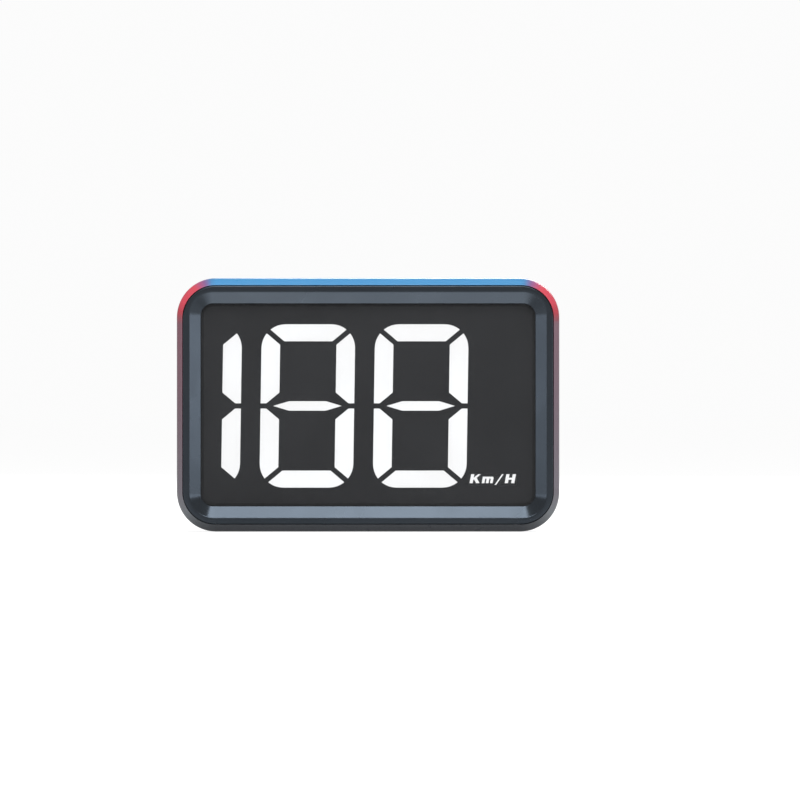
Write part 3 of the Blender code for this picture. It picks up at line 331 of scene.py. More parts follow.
def carve(piece: Piece, tools: Sequence[Piece], operation: Operation) -> None:
    """Joins tools to a piece or takes them out of it, and removes them.

    Args:
        piece: the object that changes.
        tools: closed objects.
        operation: what the tools do.
    """
    piece.modifiers.clear()
    for tool in tools:
        tool.modifiers.clear()
        change = piece.modifiers.new(tool.name, "BOOLEAN")
        change.operation = operation.value
        change.solver = "EXACT"
        change.object = tool
    settle(piece)
    for tool in tools:
        bpy.data.objects.remove(tool, do_unlink=True)


def settle(piece: Piece) -> None:
    """Makes the result of a piece's modifiers its own mesh."""
    bpy.context.view_layer.update()
    evaluated = piece.evaluated_get(bpy.context.evaluated_depsgraph_get())
    mesh = bpy.data.meshes.new_from_object(evaluated)
    piece.modifiers.clear()
    piece.data = mesh


def ease_edges(piece: Piece, width: float, over: float = 42.0) -> None:
    """Rounds the edges of a carved piece that turn by more than over degrees."""
    shape = bmesh.new()
    shape.from_mesh(piece.data)
    bmesh.ops.remove_doubles(shape, verts=shape.verts, dist=2e-6)
    bmesh.ops.dissolve_limit(shape, angle_limit=math.radians(0.6), verts=shape.verts, edges=shape.edges)
    shape.to_mesh(piece.data)
    shape.free()
    bevel = piece.modifiers.new("edges", "BEVEL")
    bevel.width = width
    bevel.segments = 3
    bevel.limit_method = "ANGLE"
    bevel.angle_limit = math.radians(over)
    settle(piece)
    smooth(piece)


def pin_bore(pin: str, near: float, far: float, line: Place) -> Piece:
    """A cutter for a hinge pin's bore.

    Args:
        pin: the CAD node of the pin.
        near: distance from the middle of the case to the bore's inner end.
        far: distance from the middle of the case to its outer end.
        line: y and z of the hinge's line.

    Returns:
        The cutter, on the pin's own side.
    """
    side = box_of(pin)[0][0]
    start, end = sorted((math.copysign(near, side), math.copysign(far, side)))
    return closed_mesh(f"{pin}_bore", [bar(start, end, PIN_RADIUS, (0.0, *line), Way.ALONG_X, 24)])


def box_of(node: str) -> tuple[Array, Array]:
    """Lowest and highest corners of a CAD node."""
    low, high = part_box(node)
    return np.array(low), np.array(high)


def middle_of(node: str) -> Array:
    """Middle of a CAD node's box."""
    low, high = box_of(node)
    return (low + high) / 2


def across(node: str) -> Place:
    """Where the middle of a CAD node's box lies, seen along Y."""
    x, _, z = middle_of(node)
    return x, z


# ================================================================ shader node groups
def group_shell(
    name: str, inputs: Sequence[tuple[str, float]], outputs: Sequence[str]
) -> tuple[Tree, bpy.types.Node, Node]:
    """An empty node group with named number inputs and outputs.

    Args:
        name: of the group.
        inputs: name and starting value of each input.
        outputs: names of the outputs.

    Returns:
        The tree, its input node and its output node.
    """
    tree = bpy.data.node_groups.new(name, "ShaderNodeTree")
    for label, value in inputs:
        socket = tree.interface.new_socket(name=label, in_out="INPUT", socket_type="NodeSocketFloat")
        socket.default_value = value
    for label in outputs:
        tree.interface.new_socket(name=label, in_out="OUTPUT", socket_type="NodeSocketFloat")
    return tree, tree.nodes.new("NodeGroupInput"), tree.nodes.new("NodeGroupOutput")


class Wiring:
    """Adds nodes to a tree and joins them, with plain numbers wherever a socket isn't linked."""

    def __init__(self, tree: bpy.types.NodeTree) -> None:
        """Keeps the tree to work on."""
        self.tree = tree

    def add(self, kind: str, inputs: Inputs | None = None, **settings: object) -> Node:
        """A node with its settings made and its inputs linked or filled.

        Args:
            kind: the node's type without its "ShaderNode" prefix.
            inputs: by socket name or number: an output socket to link, or a value.
            **settings: properties of the node.

        Returns:
            The new node.
        """
        node = self.tree.nodes.new(f"ShaderNode{kind}")
        for key, value in settings.items():
            setattr(node, key, value)
        for key, value in (inputs or {}).items():
            if isinstance(value, Socket):
                self.tree.links.new(value, node.inputs[key])
            else:
                node.inputs[key].default_value = value
        return node

    def math(self, operation: str, *values: object, clamp: bool = False) -> Socket:
        """The result of a Math node."""
        return self.add("Math", dict(enumerate(values)), operation=operation, use_clamp=clamp).outputs[0]

    def spread(self, value: object, low: float, high: float, to_low: float, to_high: float) -> Socket:
        """A value carried smoothly from one range to another, and held at its ends."""
        inputs = {"Value": value, 1: low, 2: high, 3: to_low, 4: to_high}
        return self.add("MapRange", inputs, interpolation_type="SMOOTHSTEP").outputs["Result"]

    def mix(self, factor: object, first: object, second: object) -> Socket:
        """A colour between two others."""
        inputs = {0: factor, 6: opaque(first), 7: opaque(second)}
        return self.add("Mix", inputs, data_type="RGBA").outputs[2]

    def place(self) -> Socket:
        """Object coordinates, in metres."""
        return self.add("TexCoord").outputs["Object"]

    def noise(self, scale: object, detail: float, **inputs: object) -> Socket:
        """Noise over the object's coordinates."""
        inputs |= {"Vector": self.place(), "Scale": scale, "Detail": detail}
        return self.add("TexNoise", inputs).outputs["Fac"]

    def cells(self, scale: object, **settings: object) -> Node:
        """Voronoi cells over the object's coordinates."""
        return self.add("TexVoronoi", {"Vector": self.place(), "Scale": scale}, **settings)

    def apart(self, first: object, second: object) -> Socket:
        """How far apart two numbers are."""
        return self.math("ABSOLUTE", self.math("SUBTRACT", first, second))

    def axes(self) -> tuple[Socket, ...]:
        """Object coordinates apart, as x, y and z."""
        return tuple(self.add("SeparateXYZ", {0: self.place()}).outputs)


def toned(colour: Colour, share: float) -> Colour:
    """A colour times a share, held at white."""
    return tuple(min(1.0, part * share) for part in colour)


def opaque(colour: object) -> object:
    """A colour with full alpha added, where it is given as three numbers."""
    return (*colour, 1.0) if isinstance(colour, tuple) and len(colour) == 3 else colour


class Effects:
    """The shader node groups that more than one finish uses."""

    def __init__(self) -> None:
        """Builds every group once."""
        self.grain = self._grain()
        self.handling = self._handling()
        self.wear_and_highlight = self._wear_and_highlight()
        self.brushed = self._brushed()
        self.stripes = self._stripes()

    @staticmethod
    def _grain() -> Tree:
        """Moulded grain: fine noise with shallow cells of about the same size, and a slow change of tone."""
        inputs = [("Scale", 9000.0), ("Cells", 0.4)]
        tree, given, result = group_shell("moulded_grain", inputs, ["Height", "Tone"])
        w = Wiring(tree)
        fine = w.noise(given.outputs["Scale"], 3.0)
        cells = w.cells(w.math("MULTIPLY", given.outputs["Scale"], 0.45), feature="SMOOTH_F1")
        shallow = w.math("MULTIPLY", cells.outputs["Distance"], given.outputs["Cells"])
        tree.links.new(w.math("ADD", fine, shallow), result.inputs["Height"])
        tree.links.new(w.spread(w.noise(55.0, 2.0), 0.3, 0.7, 0.0, 1.0), result.inputs["Tone"])
        return tree

    @staticmethod
    def _handling() -> Tree:
        """Handling marks: patches where fingers have polished or greased a surface."""
        tree, given, result = group_shell("handling_marks", [("Scale", 120.0), ("Amount", 0.3)], ["Mask"])
        w = Wiring(tree)
        patches = w.spread(w.noise(given.outputs["Scale"], 4.0, Distortion=0.6), 0.46, 0.68, 0.0, 1.0)
        speckled = w.math("MULTIPLY", patches, w.spread(w.noise(2600.0, 1.0), 0.3, 0.6, 0.5, 1.0))
        tree.links.new(w.math("MULTIPLY", speckled, given.outputs["Amount"]), result.inputs["Mask"])
        return tree

    @staticmethod
    def _wear_and_highlight() -> Tree:
        """Edge lightening: outward edges painted lighter, partly scuffing and partly a painted highlight,
        broken up by noise.
        """
        tree, given, result = group_shell("edge_wear_and_highlight", [("Amount", 0.3), ("Scale", 900.0)], ["Mask"])
        w = Wiring(tree)
        edges = w.add("NewGeometry").outputs["Pointiness"]
        broken = w.spread(w.noise(given.outputs["Scale"], 3.0), 0.35, 0.7, 0.25, 1.0)
        rubbed_and_highlight = w.math("MULTIPLY", w.spread(edges, 0.52, 0.62, 0.0, 1.0), broken)
        tree.links.new(w.math("MULTIPLY", rubbed_and_highlight, given.outputs["Amount"]), result.inputs["Mask"])
        return tree

    @staticmethod
    def _brushed() -> Tree:
        """Brushed lines: noise drawn out along X, for rolled and plated metal."""
        tree, given, result = group_shell("brushed_lines", [("Scale", 3000.0), ("Stretch", 30.0)], ["Height"])
        w = Wiring(tree)
        x, y, z = w.axes()
        short = w.math("DIVIDE", x, given.outputs["Stretch"])
        drawn = w.add("CombineXYZ", {0: short, 1: y, 2: z}).outputs[0]
        noise = w.add("TexNoise", {"Vector": drawn, "Scale": given.outputs["Scale"], "Detail": 2.0})
        tree.links.new(noise.outputs["Fac"], result.inputs["Height"])
        return tree

    @staticmethod
    def _stripes() -> Tree:
        """Even stripes: 1 within half a width of every whole number of pitches, and 0 elsewhere."""
        inputs = [("Place", 0.0), ("Pitch", 0.001), ("Width", 0.0001), ("Shift", 0.0)]
        tree, given, result = group_shell("even_stripes", inputs, ["Mask", "Number"])
        w = Wiring(tree)
        moved = w.math("ADD", given.outputs["Place"], given.outputs["Shift"])
        turns = w.math("DIVIDE", moved, given.outputs["Pitch"])
        number = w.math("FLOOR", w.math("ADD", turns, 0.5))
        off = w.math("MULTIPLY", w.apart(turns, number), given.outputs["Pitch"])
        half = w.math("DIVIDE", given.outputs["Width"], 2.0)
        tree.links.new(w.math("LESS_THAN", off, half), result.inputs["Mask"])
        tree.links.new(w.math("FLOOR", turns), result.inputs["Number"])
        return tree


# ================================================================ finishes
class Finish:
    """A material under construction: its Principled shader and the wiring round it."""

    def __init__(self, name: str, effects: Effects, **constants: object) -> None:
        """Starts the material.

        Args:
            name: of the material.
            effects: the shared node groups.
            **constants: values set on the shader's own sockets, spaces in their names written as underscores.
        """
        self.material = bpy.data.materials.new(name)
        self.material.use_nodes = True
        self.effects = effects
        self.wires = Wiring(self.material.node_tree)
        self.shader = self.material.node_tree.nodes["Principled BSDF"]
        for key, value in constants.items():
            self.shader.inputs[key.replace("_", " ")].default_value = opaque(value)

    def group(self, tree: Tree, **inputs: object) -> Node:
        """One of the shared effects, with its own values."""
        return self.wires.add("Group", dict(inputs), node_tree=tree)

    def feed(self, socket: str, value: Socket) -> None:
        """Links a value to one of the shader's sockets."""
        self.material.node_tree.links.new(value, self.shader.inputs[socket])

    def bump(self, height: Socket, distance: float, strength: float = 1.0) -> None:
        """Feeds a height in metres times distance to the shader's normal."""
        inputs = {"Height": height, "Distance": distance, "Strength": strength}
        self.feed("Normal", self.wires.add("Bump", inputs).outputs[0])

    def roughen(self, base: float, by: Socket, change: float) -> None:
        """Feeds base plus a mask times a change to the roughness."""
        self.feed("Roughness", self.wires.math("MULTIPLY_ADD", by, change, base))


@dataclass(frozen=True)
class MouldedPlastic:
    """Satin or matte moulded plastic with a fine grain, a slow change of tone, and outward edges painted
    lighter, partly as scuffing and partly as a painted highlight.
    """

    name: str
    colour: Colour
    roughness: float = 0.5
    tone: float = 0.12
    grain_scale: float = 9000.0
    grain_depth: float = 0.000008
    worn_and_highlight: float = 0.15
    marks: float = 0.25
    specular: float = 0.5
    tint: Colour = (1.0, 1.0, 1.0)

    def make(self, effects: Effects) -> Material:
        """Builds the material."""
        f = Finish(self.name, effects, Specular_IOR_Level=self.specular, Specular_Tint=self.tint)
        grain = f.group(effects.grain, Scale=self.grain_scale)
        darker, lighter = toned(self.colour, 1 - self.tone), toned(self.colour, 1 + self.tone)
        body = f.wires.mix(grain.outputs["Tone"], darker, lighter)
        # Outward edges painted lighter: partly scuffing, partly a painted highlight.
        worn_and_highlight = f.group(effects.wear_and_highlight, Amount=self.worn_and_highlight).outputs["Mask"]
        rubbed_and_highlight = tuple(min(1.0, c * 1.6 + 0.02) for c in self.colour)
        f.feed("Base Color", f.wires.mix(worn_and_highlight, body, rubbed_and_highlight))
        f.roughen(self.roughness, f.group(effects.handling, Amount=self.marks).outputs["Mask"], -0.35)
        f.bump(grain.outputs["Height"], self.grain_depth)
        return f.material


@dataclass(frozen=True)
class RimPaintedReflection:
    """Painted reflection on the rim: coloured light painted into its colour, from slate at the bottom through
    mauve and red to blue at the top.
    """

    name: str = "rim_painted_reflection"
    half: Place = (0.0400, 0.0265)
    centre_z: float = 0.0265
    corner: float = 0.0082
    stops: tuple[tuple[float, Colour], ...] = (
        (0.00, (0.062, 0.068, 0.076)),
        (0.08, (0.120, 0.130, 0.140)),
        (0.16, (0.270, 0.290, 0.310)),
        (0.27, (0.260, 0.225, 0.260)),
        (0.50, (0.285, 0.170, 0.210)),
        (0.73, (0.350, 0.150, 0.195)),
        (0.77, (0.750, 0.080, 0.110)),
        (0.82, (1.000, 0.100, 0.150)),
        (0.90, (1.000, 0.105, 0.150)),
        (0.95, (0.380, 0.170, 0.420)),
        (0.98, (0.100, 0.360, 0.740)),
        (1.00, (0.080, 0.410, 0.830)),
    )
    right: Colour = (0.360, 0.340, 0.395)
    side_reach: float = 0.0175
    flake_scale: float = 14000.0
    flake: Colour = (0.55, 0.60, 0.70)
    rubbed_and_highlight: Colour = (0.42, 0.46, 0.52)
    roughness: float = 0.34

    def _way_round(self, f: Finish, x: Socket, z: Socket) -> Socket:
        """How far up the rim a point lies, by its outline and not only by its height.

        It is the height over the straight side from -1 to 1, plus the corner's turn from 0 to 1 or -1, and
        then scaled to 0 at the bottom, a quarter to three quarters on the sides, and 1 at the top.
        """
        w = f.wires
        up = w.math("SUBTRACT", z, self.centre_z)
        level = w.math("DIVIDE", up, self.half[1] - self.corner)
        level = w.math("MAXIMUM", w.math("MINIMUM", level, 1.0), -1.0)
        beyond_x = w.math("SUBTRACT", w.math("ABSOLUTE", x), self.half[0] - self.corner)
        beyond_z = w.math("SUBTRACT", w.math("ABSOLUTE", up), self.half[1] - self.corner)
        past_x, past_z = w.math("MAXIMUM", beyond_x, 1e-6), w.math("MAXIMUM", beyond_z, 0.0)
        turn = w.math("DIVIDE", w.math("ARCTAN2", past_z, past_x), math.pi / 2)
        whole = w.math("MULTIPLY_ADD", turn, w.math("SIGN", up), level)
        return w.math("MULTIPLY_ADD", whole, 0.25, 0.5, clamp=True)

    def make(self, effects: Effects) -> Material:
        """Builds the material: one colour ramp of painted reflection round the rim, a little greyer to the
        right, and flake.
        """
        f = Finish(self.name, effects, Coat_Roughness=0.15, Specular_IOR_Level=0.4)
        x, _, z = f.wires.axes()
        # The ramp is painted reflection of coloured lights: blue on top, red at the upper corners, mauve down
        # the sides, slate at the bottom.
        ramp = f.wires.add("ValToRGB", {"Fac": self._way_round(f, x, z)})
        while len(ramp.color_ramp.elements) < len(self.stops):
            ramp.color_ramp.elements.new(0.5)
        for element, (where, colour) in zip(ramp.color_ramp.elements, self.stops):
            element.position = where
            element.color = (*colour, 1.0)
        # Painted reflection also: the right side a little greyer.
        greyer = f.wires.spread(x, -self.half[0], self.half[0], 0.0, 0.25)
        side = f.wires.math("LESS_THAN", f.wires.apart(z, self.centre_z), self.side_reach)
        body = f.wires.mix(f.wires.math("MULTIPLY", greyer, side), ramp.outputs["Color"], self.right)
        flake = f.wires.cells(self.flake_scale)
        bright = f.wires.spread(flake.outputs["Color"], 0.2, 1.0, 0.0, 0.08)
        flaked = f.wires.mix(bright, body, self.flake)
        # Outward edges painted lighter: partly scuffing, partly a painted highlight.
        worn_and_highlight = f.group(effects.wear_and_highlight, Amount=0.15, Scale=1400.0).outputs["Mask"]
        f.feed("Base Color", f.wires.mix(worn_and_highlight, flaked, self.rubbed_and_highlight))
        f.roughen(self.roughness, f.group(effects.handling, Amount=0.3).outputs["Mask"], -0.25)
        f.feed("Coat Weight", f.wires.spread(flake.outputs["Distance"], 0.0, 0.6, 0.10, 0.25))
        f.bump(f.group(effects.grain, Scale=7000.0).outputs["Height"], 0.000003)
        return f.material


@dataclass(frozen=True)
class SmokedLens:
    """Smoked acrylic with an anti-glare front."""

    name: str = "smoked_lens"
    colour: Colour = (0.069, 0.071, 0.076)
    tint: float = 0.36
    roughness: float = 0.42

    def make(self, effects: Effects) -> Material:
        """Builds the material: a dark tint over what is behind it, and a finely etched surface."""
        f = Finish(self.name, effects, Specular_IOR_Level=0.35)
        grain = f.group(effects.grain, Scale=16000.0, Cells=0.2)
        f.feed("Base Color", f.wires.mix(grain.outputs["Tone"], toned(self.colour, 0.9), self.colour))
        f.feed("Alpha", f.wires.spread(grain.outputs["Tone"], 0.0, 1.0, self.tint - 0.01, self.tint + 0.01))
        f.roughen(self.roughness, f.group(effects.handling, Amount=0.2).outputs["Mask"], -0.2)
        f.bump(grain.outputs["Height"], 0.000002)
        return f.material


@dataclass(frozen=True)
class LitDiffuser:
    """White light diffuser, lit from behind, with a dark print on all that lies deeper than its shapes."""

    printed_from: float
    name: str = "lit_diffuser"
    glow: float = 1.98
    ink: Colour = (0.030, 0.032, 0.034)

    def make(self, effects: Effects) -> Material:
        """Builds the material: an even glow with a faint grain of the diffusing pigment, and the print."""
        f = Finish(self.name, effects, Roughness=0.55, Emission_Strength=self.glow)
        grain = f.group(effects.grain, Scale=5000.0)
        tone = f.wires.mix(grain.outputs["Tone"], (0.97, 0.985, 1.0), (1.0, 1.0, 1.0))
        printed = f.wires.math("GREATER_THAN", f.wires.axes()[1], self.printed_from)
        f.feed("Base Color", f.wires.mix(printed, tone, self.ink))
        f.feed("Emission Color", f.wires.mix(printed, tone, (0.0, 0.0, 0.0)))
        f.bump(grain.outputs["Height"], 0.000003)
        return f.material


@dataclass(frozen=True)
class PlatedMetal:
    """Plated or blackened metal with drawn lines and handling marks."""

    name: str
    colour: Colour
    roughness: float = 0.3
    lines: float = 3000.0
    depth: float = 0.000003
    dull: Colour = (0.10, 0.10, 0.11)

    def make(self, effects: Effects) -> Material:
        """Builds the material."""
        f = Finish(self.name, effects, Metallic=1.0)
        marks = f.group(effects.handling, Amount=0.5, Scale=400.0).outputs["Mask"]
        f.feed("Base Color", f.wires.mix(marks, self.colour, self.dull))
        lines = f.group(effects.brushed, Scale=self.lines).outputs["Height"]
        f.roughen(self.roughness, lines, 0.16)
        f.bump(lines, self.depth)
        return f.material


@dataclass(frozen=True)
class SolderMask:
    """Circuit board: tinted solder mask over copper tracks, and the bare edge of the laminate."""

    name: str = "solder_mask"
    mask: Colour = (0.010, 0.110, 0.045)
    tracks: Colour = (0.030, 0.190, 0.075)
    silver: Colour = (0.60, 0.61, 0.58)
    pitch: float = 0.0016

    def make(self, effects: Effects) -> Material:
        """Builds the material: two crossing sets of tracks in patches, with tinned vias on a wider grid."""
        f = Finish(self.name, effects, Roughness=0.32, Coat_Roughness=0.2)
        x, _, z = f.wires.axes()
        level = f.group(effects.stripes, Place=z, Pitch=self.pitch, Width=self.pitch * 0.3)
        upright = f.group(effects.stripes, Place=x, Pitch=self.pitch, Width=self.pitch * 0.3)
        choice = f.wires.math("GREATER_THAN", f.wires.noise(110.0, 1.0), 0.5)
        turned = f.wires.math("MULTIPLY", upright.outputs["Mask"], f.wires.math("SUBTRACT", 1.0, choice))
        track = f.wires.math("MULTIPLY_ADD", level.outputs["Mask"], choice, turned, clamp=True)
        via = f.wires.math("LESS_THAN", f.wires.cells(260.0).outputs["Distance"], 0.09)
        body = f.wires.mix(track, self.mask, self.tracks)
        f.feed("Base Color", f.wires.mix(via, body, self.silver))
        f.feed("Metallic", via)
        f.feed("Coat Weight", f.wires.math("MULTIPLY_ADD", via, -0.5, 0.5))
        f.bump(track, 0.00002)
        return f.material


@dataclass(frozen=True)
class FoamTape:
    """Closed-cell foam: a soft matte surface of fine open cells."""

    name: str
    colour: Colour
    cells: float = 5200.0

    def make(self, effects: Effects) -> Material:
        """Builds the material: cell walls lighter than the cells."""
        f = Finish(self.name, effects, Roughness=0.95, Specular_IOR_Level=0.2)
        depth = f.wires.spread(f.wires.cells(self.cells).outputs["Distance"], 0.0, 0.7, 0.0, 1.0)
        f.feed("Base Color", f.wires.mix(depth, toned(self.colour, 0.6), self.colour))
        f.bump(depth, 0.00003)
        return f.material


@dataclass(frozen=True)
class ReleaseFilm:
    """Glossy coloured film over the adhesive, slightly wavy."""

    name: str = "release_film"
    colour: Colour = (0.33, 0.005, 0.009)

    def make(self, effects: Effects) -> Material:
        """Builds the material: slow waves in the film and finger marks in its gloss."""
        f = Finish(self.name, effects, Coat_Roughness=0.06, Specular_IOR_Level=0.5)
        waves = f.wires.noise(130.0, 2.0)
        f.feed("Base Color", f.wires.mix(waves, toned(self.colour, 0.72), self.colour))
        marks = f.group(effects.handling, Amount=0.6, Scale=220.0).outputs["Mask"]
        f.roughen(0.20, marks, 0.30)
        f.feed("Coat Weight", f.wires.math("MULTIPLY_ADD", marks, -0.4, 0.6))
        f.bump(waves, 0.00012)
        return f.material


@dataclass(frozen=True)
class SolarCells:
    """Dark cells in a row under a clear laminate, with collector fingers, bus bars and gaps."""

    half_x: float
    low_z: float
    high_z: float
    name: str = "solar_cells"
    cells: int = 8
    border: float = 0.0011
    gap: float = 0.00045
    finger_pitch: float = 0.00085
    finger: float = 0.00007
    bar: float = 0.00042
    silicon: Colour = (0.0045, 0.009, 0.032)
    silver: Colour = (0.27, 0.285, 0.31)
    base: Colour = (0.012, 0.013, 0.016)

    def make(self, effects: Effects) -> Material:
        """Builds the material: border, gaps between cells, level fingers and two upright bars in a cell."""
        f = Finish(self.name, effects, Coat_Roughness=0.03, Coat_IOR=1.5)
        w = f.wires
        x, _, z = w.axes()
        middle, half_z = (self.low_z + self.high_z) / 2, (self.high_z - self.low_z) / 2
        pitch = 2 * (self.half_x - self.border) / self.cells
        shift = self.half_x - self.border
        gaps = f.group(effects.stripes, Place=x, Pitch=pitch, Width=self.gap, Shift=shift)
        bars = f.group(effects.stripes, Place=x, Pitch=pitch / 2, Width=self.bar, Shift=shift + pitch / 4)
        fingers = f.group(effects.stripes, Place=z, Pitch=self.finger_pitch, Width=self.finger, Shift=-middle)
        off_x = w.math("GREATER_THAN", w.math("ABSOLUTE", x), self.half_x - self.border)
        off_z = w.math("GREATER_THAN", w.apart(z, middle), half_z - self.border)
        bare = w.math("MAXIMUM", w.math("MAXIMUM", off_x, off_z), gaps.outputs["Mask"])
        metal = w.math("MAXIMUM", fingers.outputs["Mask"], bars.outputs["Mask"])
        metal = w.math("MULTIPLY", metal, w.math("SUBTRACT", 1.0, bare))
        shade = w.add("TexWhiteNoise", {"W": gaps.outputs["Number"]}, noise_dimensions="1D")
        crystal = w.noise(420.0, 3.0)
        lively = w.math("MULTIPLY_ADD", crystal, 0.5, w.math("MULTIPLY", shade.outputs["Value"], 0.5))
        cell = w.mix(lively, self.silicon, toned(self.silicon, 2.1))
        f.feed("Base Color", w.mix(bare, w.mix(metal, cell, self.silver), self.base))
        f.feed("Metallic", w.math("MULTIPLY", metal, 0.8))
        f.roughen(0.28, f.group(effects.handling, Amount=0.5, Scale=160.0).outputs["Mask"], 0.2)
        f.feed("Coat Weight", w.spread(crystal, 0.0, 1.0, 0.9, 1.0))
        f.bump(metal, 0.00001)
        return f.material


@dataclass(frozen=True)
class PouchFoil:
    """Aluminium-laminate pouch with slow dents."""

    name: str = "pouch_foil"
    colour: Colour = (0.58, 0.59, 0.61)

    def make(self, effects: Effects) -> Material:
        """Builds the material: dents from what is inside, and faint rolling lines."""
        f = Finish(self.name, effects, Metallic=0.85)
        dents = f.wires.noise(95.0, 2.0)
        f.feed("Base Color", f.wires.mix(dents, toned(self.colour, 0.82), self.colour))
        f.roughen(0.30, f.group(effects.brushed, Scale=2000.0).outputs["Height"], 0.15)
        f.bump(dents, 0.00025)
        return f.material


@dataclass(frozen=True)
class CeramicPatch:
    """Fired ceramic block with a square of silver printed on its upper face."""

    centre: Place
    top: float
    name: str = "ceramic_patch"
    half_patch: float = 0.0034
    print_depth: float = 0.0002
    colour: Colour = (0.62, 0.52, 0.38)
    silver: Colour = (0.72, 0.72, 0.70)

    def make(self, effects: Effects) -> Material:
        """Builds the material: the square is where both distances from the centre are under half its side."""
        f = Finish(self.name, effects)
        w = f.wires
        x, y, z = w.axes()
        near_x = w.math("LESS_THAN", w.apart(x, self.centre[0]), self.half_patch)
        near_y = w.math("LESS_THAN", w.apart(y, self.centre[1]), self.half_patch)
        above = w.math("GREATER_THAN", z, self.top - self.print_depth)
        patch = w.math("MULTIPLY", w.math("MULTIPLY", near_x, near_y), above)
        grain = f.group(effects.grain, Scale=6000.0)
        ground = w.mix(grain.outputs["Tone"], self.colour, toned(self.colour, 1.12))
        f.feed("Base Color", w.mix(patch, ground, self.silver))
        f.feed("Metallic", patch)
        f.roughen(0.45, patch, -0.12)
        f.bump(grain.outputs["Height"], 0.00001)
        return f.material


@dataclass(frozen=True)
class ContactTongue:
    """Black tongue of the charging socket with a row of gold contacts."""

    centre_z: float
    name: str = "contact_tongue"
    pitch: float = 0.0005
    contact: float = 0.00026
    half_row: float = 0.0029
    gold: Colour = (0.83, 0.60, 0.24)
    body: Colour = (0.015, 0.015, 0.016)

    def make(self, effects: Effects) -> Material:
        """Builds the material: contacts at an even pitch across the tongue's width."""
        f = Finish(self.name, effects)
        _, _, z = f.wires.axes()
        row = f.group(effects.stripes, Place=z, Pitch=self.pitch, Width=self.contact, Shift=-self.centre_z)
        within = f.wires.math("LESS_THAN", f.wires.apart(z, self.centre_z), self.half_row)
        contact = f.wires.math("MULTIPLY", row.outputs["Mask"], within)
        f.feed("Base Color", f.wires.mix(contact, self.body, self.gold))
        f.feed("Metallic", contact)
        f.roughen(0.45, contact, -0.2)
        f.bump(contact, 0.00002)
        return f.material


class Paints:
    """Every finish of the object, made once and looked up by the record's slot."""

    def __init__(self) -> None:
        """Builds the shared effects and all materials."""
        effects = Effects()
        solar_low, solar_high = box_of("solar_panel")
        antenna_low, antenna_high = box_of("gps_antenna")
        patch = ((antenna_low[0] + antenna_high[0]) / 2, (antenna_low[1] + antenna_high[1]) / 2)
        slate, black = (0.0215, 0.0240, 0.0270), (0.018, 0.018, 0.019)
        glossy = MouldedPlastic(
            "bezel_plastic", slate, 0.22, specular=1.0, tint=(0.66, 0.81, 1.0),
            grain_depth=0.000002, marks=0.15,
        )  # fmt: skip
        self.bezel = glossy.make(effects)
        finishes = {
            "case": MouldedPlastic("case_plastic", slate, 0.46, tint=(0.85, 0.93, 1.0)),
            "rim": RimPaintedReflection(),
            "lens": SmokedLens(),
            "mask": MouldedPlastic("mask_print", (0.069, 0.071, 0.076), 0.75, worn_and_highlight=0.0, specular=0.2),
            "lit": LitDiffuser(box_of("segment_mask")[1][1]),
            "white_plastic": MouldedPlastic("white_plastic", (0.80, 0.81, 0.80), 0.45, 0.04),
            "foam": FoamTape("black_foam", (0.030, 0.030, 0.031)),
            "board": SolderMask(),
            "black": MouldedPlastic("black_plastic", black, 0.5),
            "chip": MouldedPlastic("epoxy", (0.026, 0.026, 0.028), 0.38, grain_scale=14000.0),
            "steel": PlatedMetal("nickel_plate", (0.62, 0.62, 0.61), 0.26),
            "screw": PlatedMetal("black_oxide", (0.085, 0.086, 0.092), 0.30, dull=(0.03, 0.03, 0.03)),
            "brass": PlatedMetal("gold_plate", (0.83, 0.60, 0.24), 0.25),
            "ceramic": CeramicPatch(patch, antenna_high[2]),
            "silver": PouchFoil(),
            "solar": SolarCells(solar_high[0], solar_low[2], solar_high[2]),
            "red": MouldedPlastic("red_insulation", (0.50, 0.012, 0.012), 0.45),
            "pad": ReleaseFilm(),
            "button": MouldedPlastic("button_plastic", (0.046, 0.050, 0.057), 0.40, worn_and_highlight=0.3),
        }
        self.by_slot = {slot: finish.make(effects) for slot, finish in finishes.items()}
        self.washer = MouldedPlastic("grey_acetal", (0.085, 0.087, 0.090), 0.35).make(effects)
        self.tongue = ContactTongue(middle_of("usb_tongue")[2]).make(effects)
        self.pad_foam = FoamTape("pad_foam", (0.62, 0.62, 0.60), 3800.0).make(effects)

    def finish_node(self, slot: str, *nodes: str, material: Material | None = None) -> None:
        """Gives CAD nodes that stay the finish of their slot, or one of their own.

        Args:
            slot: the record's material slot.
            nodes: the CAD nodes.
            material: a finish of their own, if it isn't the slot's.
        """
        for node in nodes:
            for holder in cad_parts[node].material_slots:
                holder.material = material or self.by_slot[slot]
            log.info("node %s keeps its shape, finished as %s", node, slot)

    def finish_piece(
        self,
        piece: Piece,
        slot: str,
        body: str,
        nodes: Sequence[str] = (),
        material: Material | None = None,
    ) -> Piece:
        """Dresses a new piece, and makes it ride on its body in place of its CAD nodes.

        Args:
            piece: the new object.
            slot: the record's material slot.
            body: the CAD body that it moves with.
            nodes: the CAD nodes that it stands for.
            material: a finish of its own, if it isn't the slot's.

        Returns:
            The same object.
        """
        piece.data.materials.clear()
        piece.data.materials.append(material or self.by_slot[slot])
        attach(piece, body)
        if nodes:
            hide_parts(*nodes)
        log.info("piece %s rides on %s, %d faces", piece.name, body, len(piece.data.polygons))
        return piece


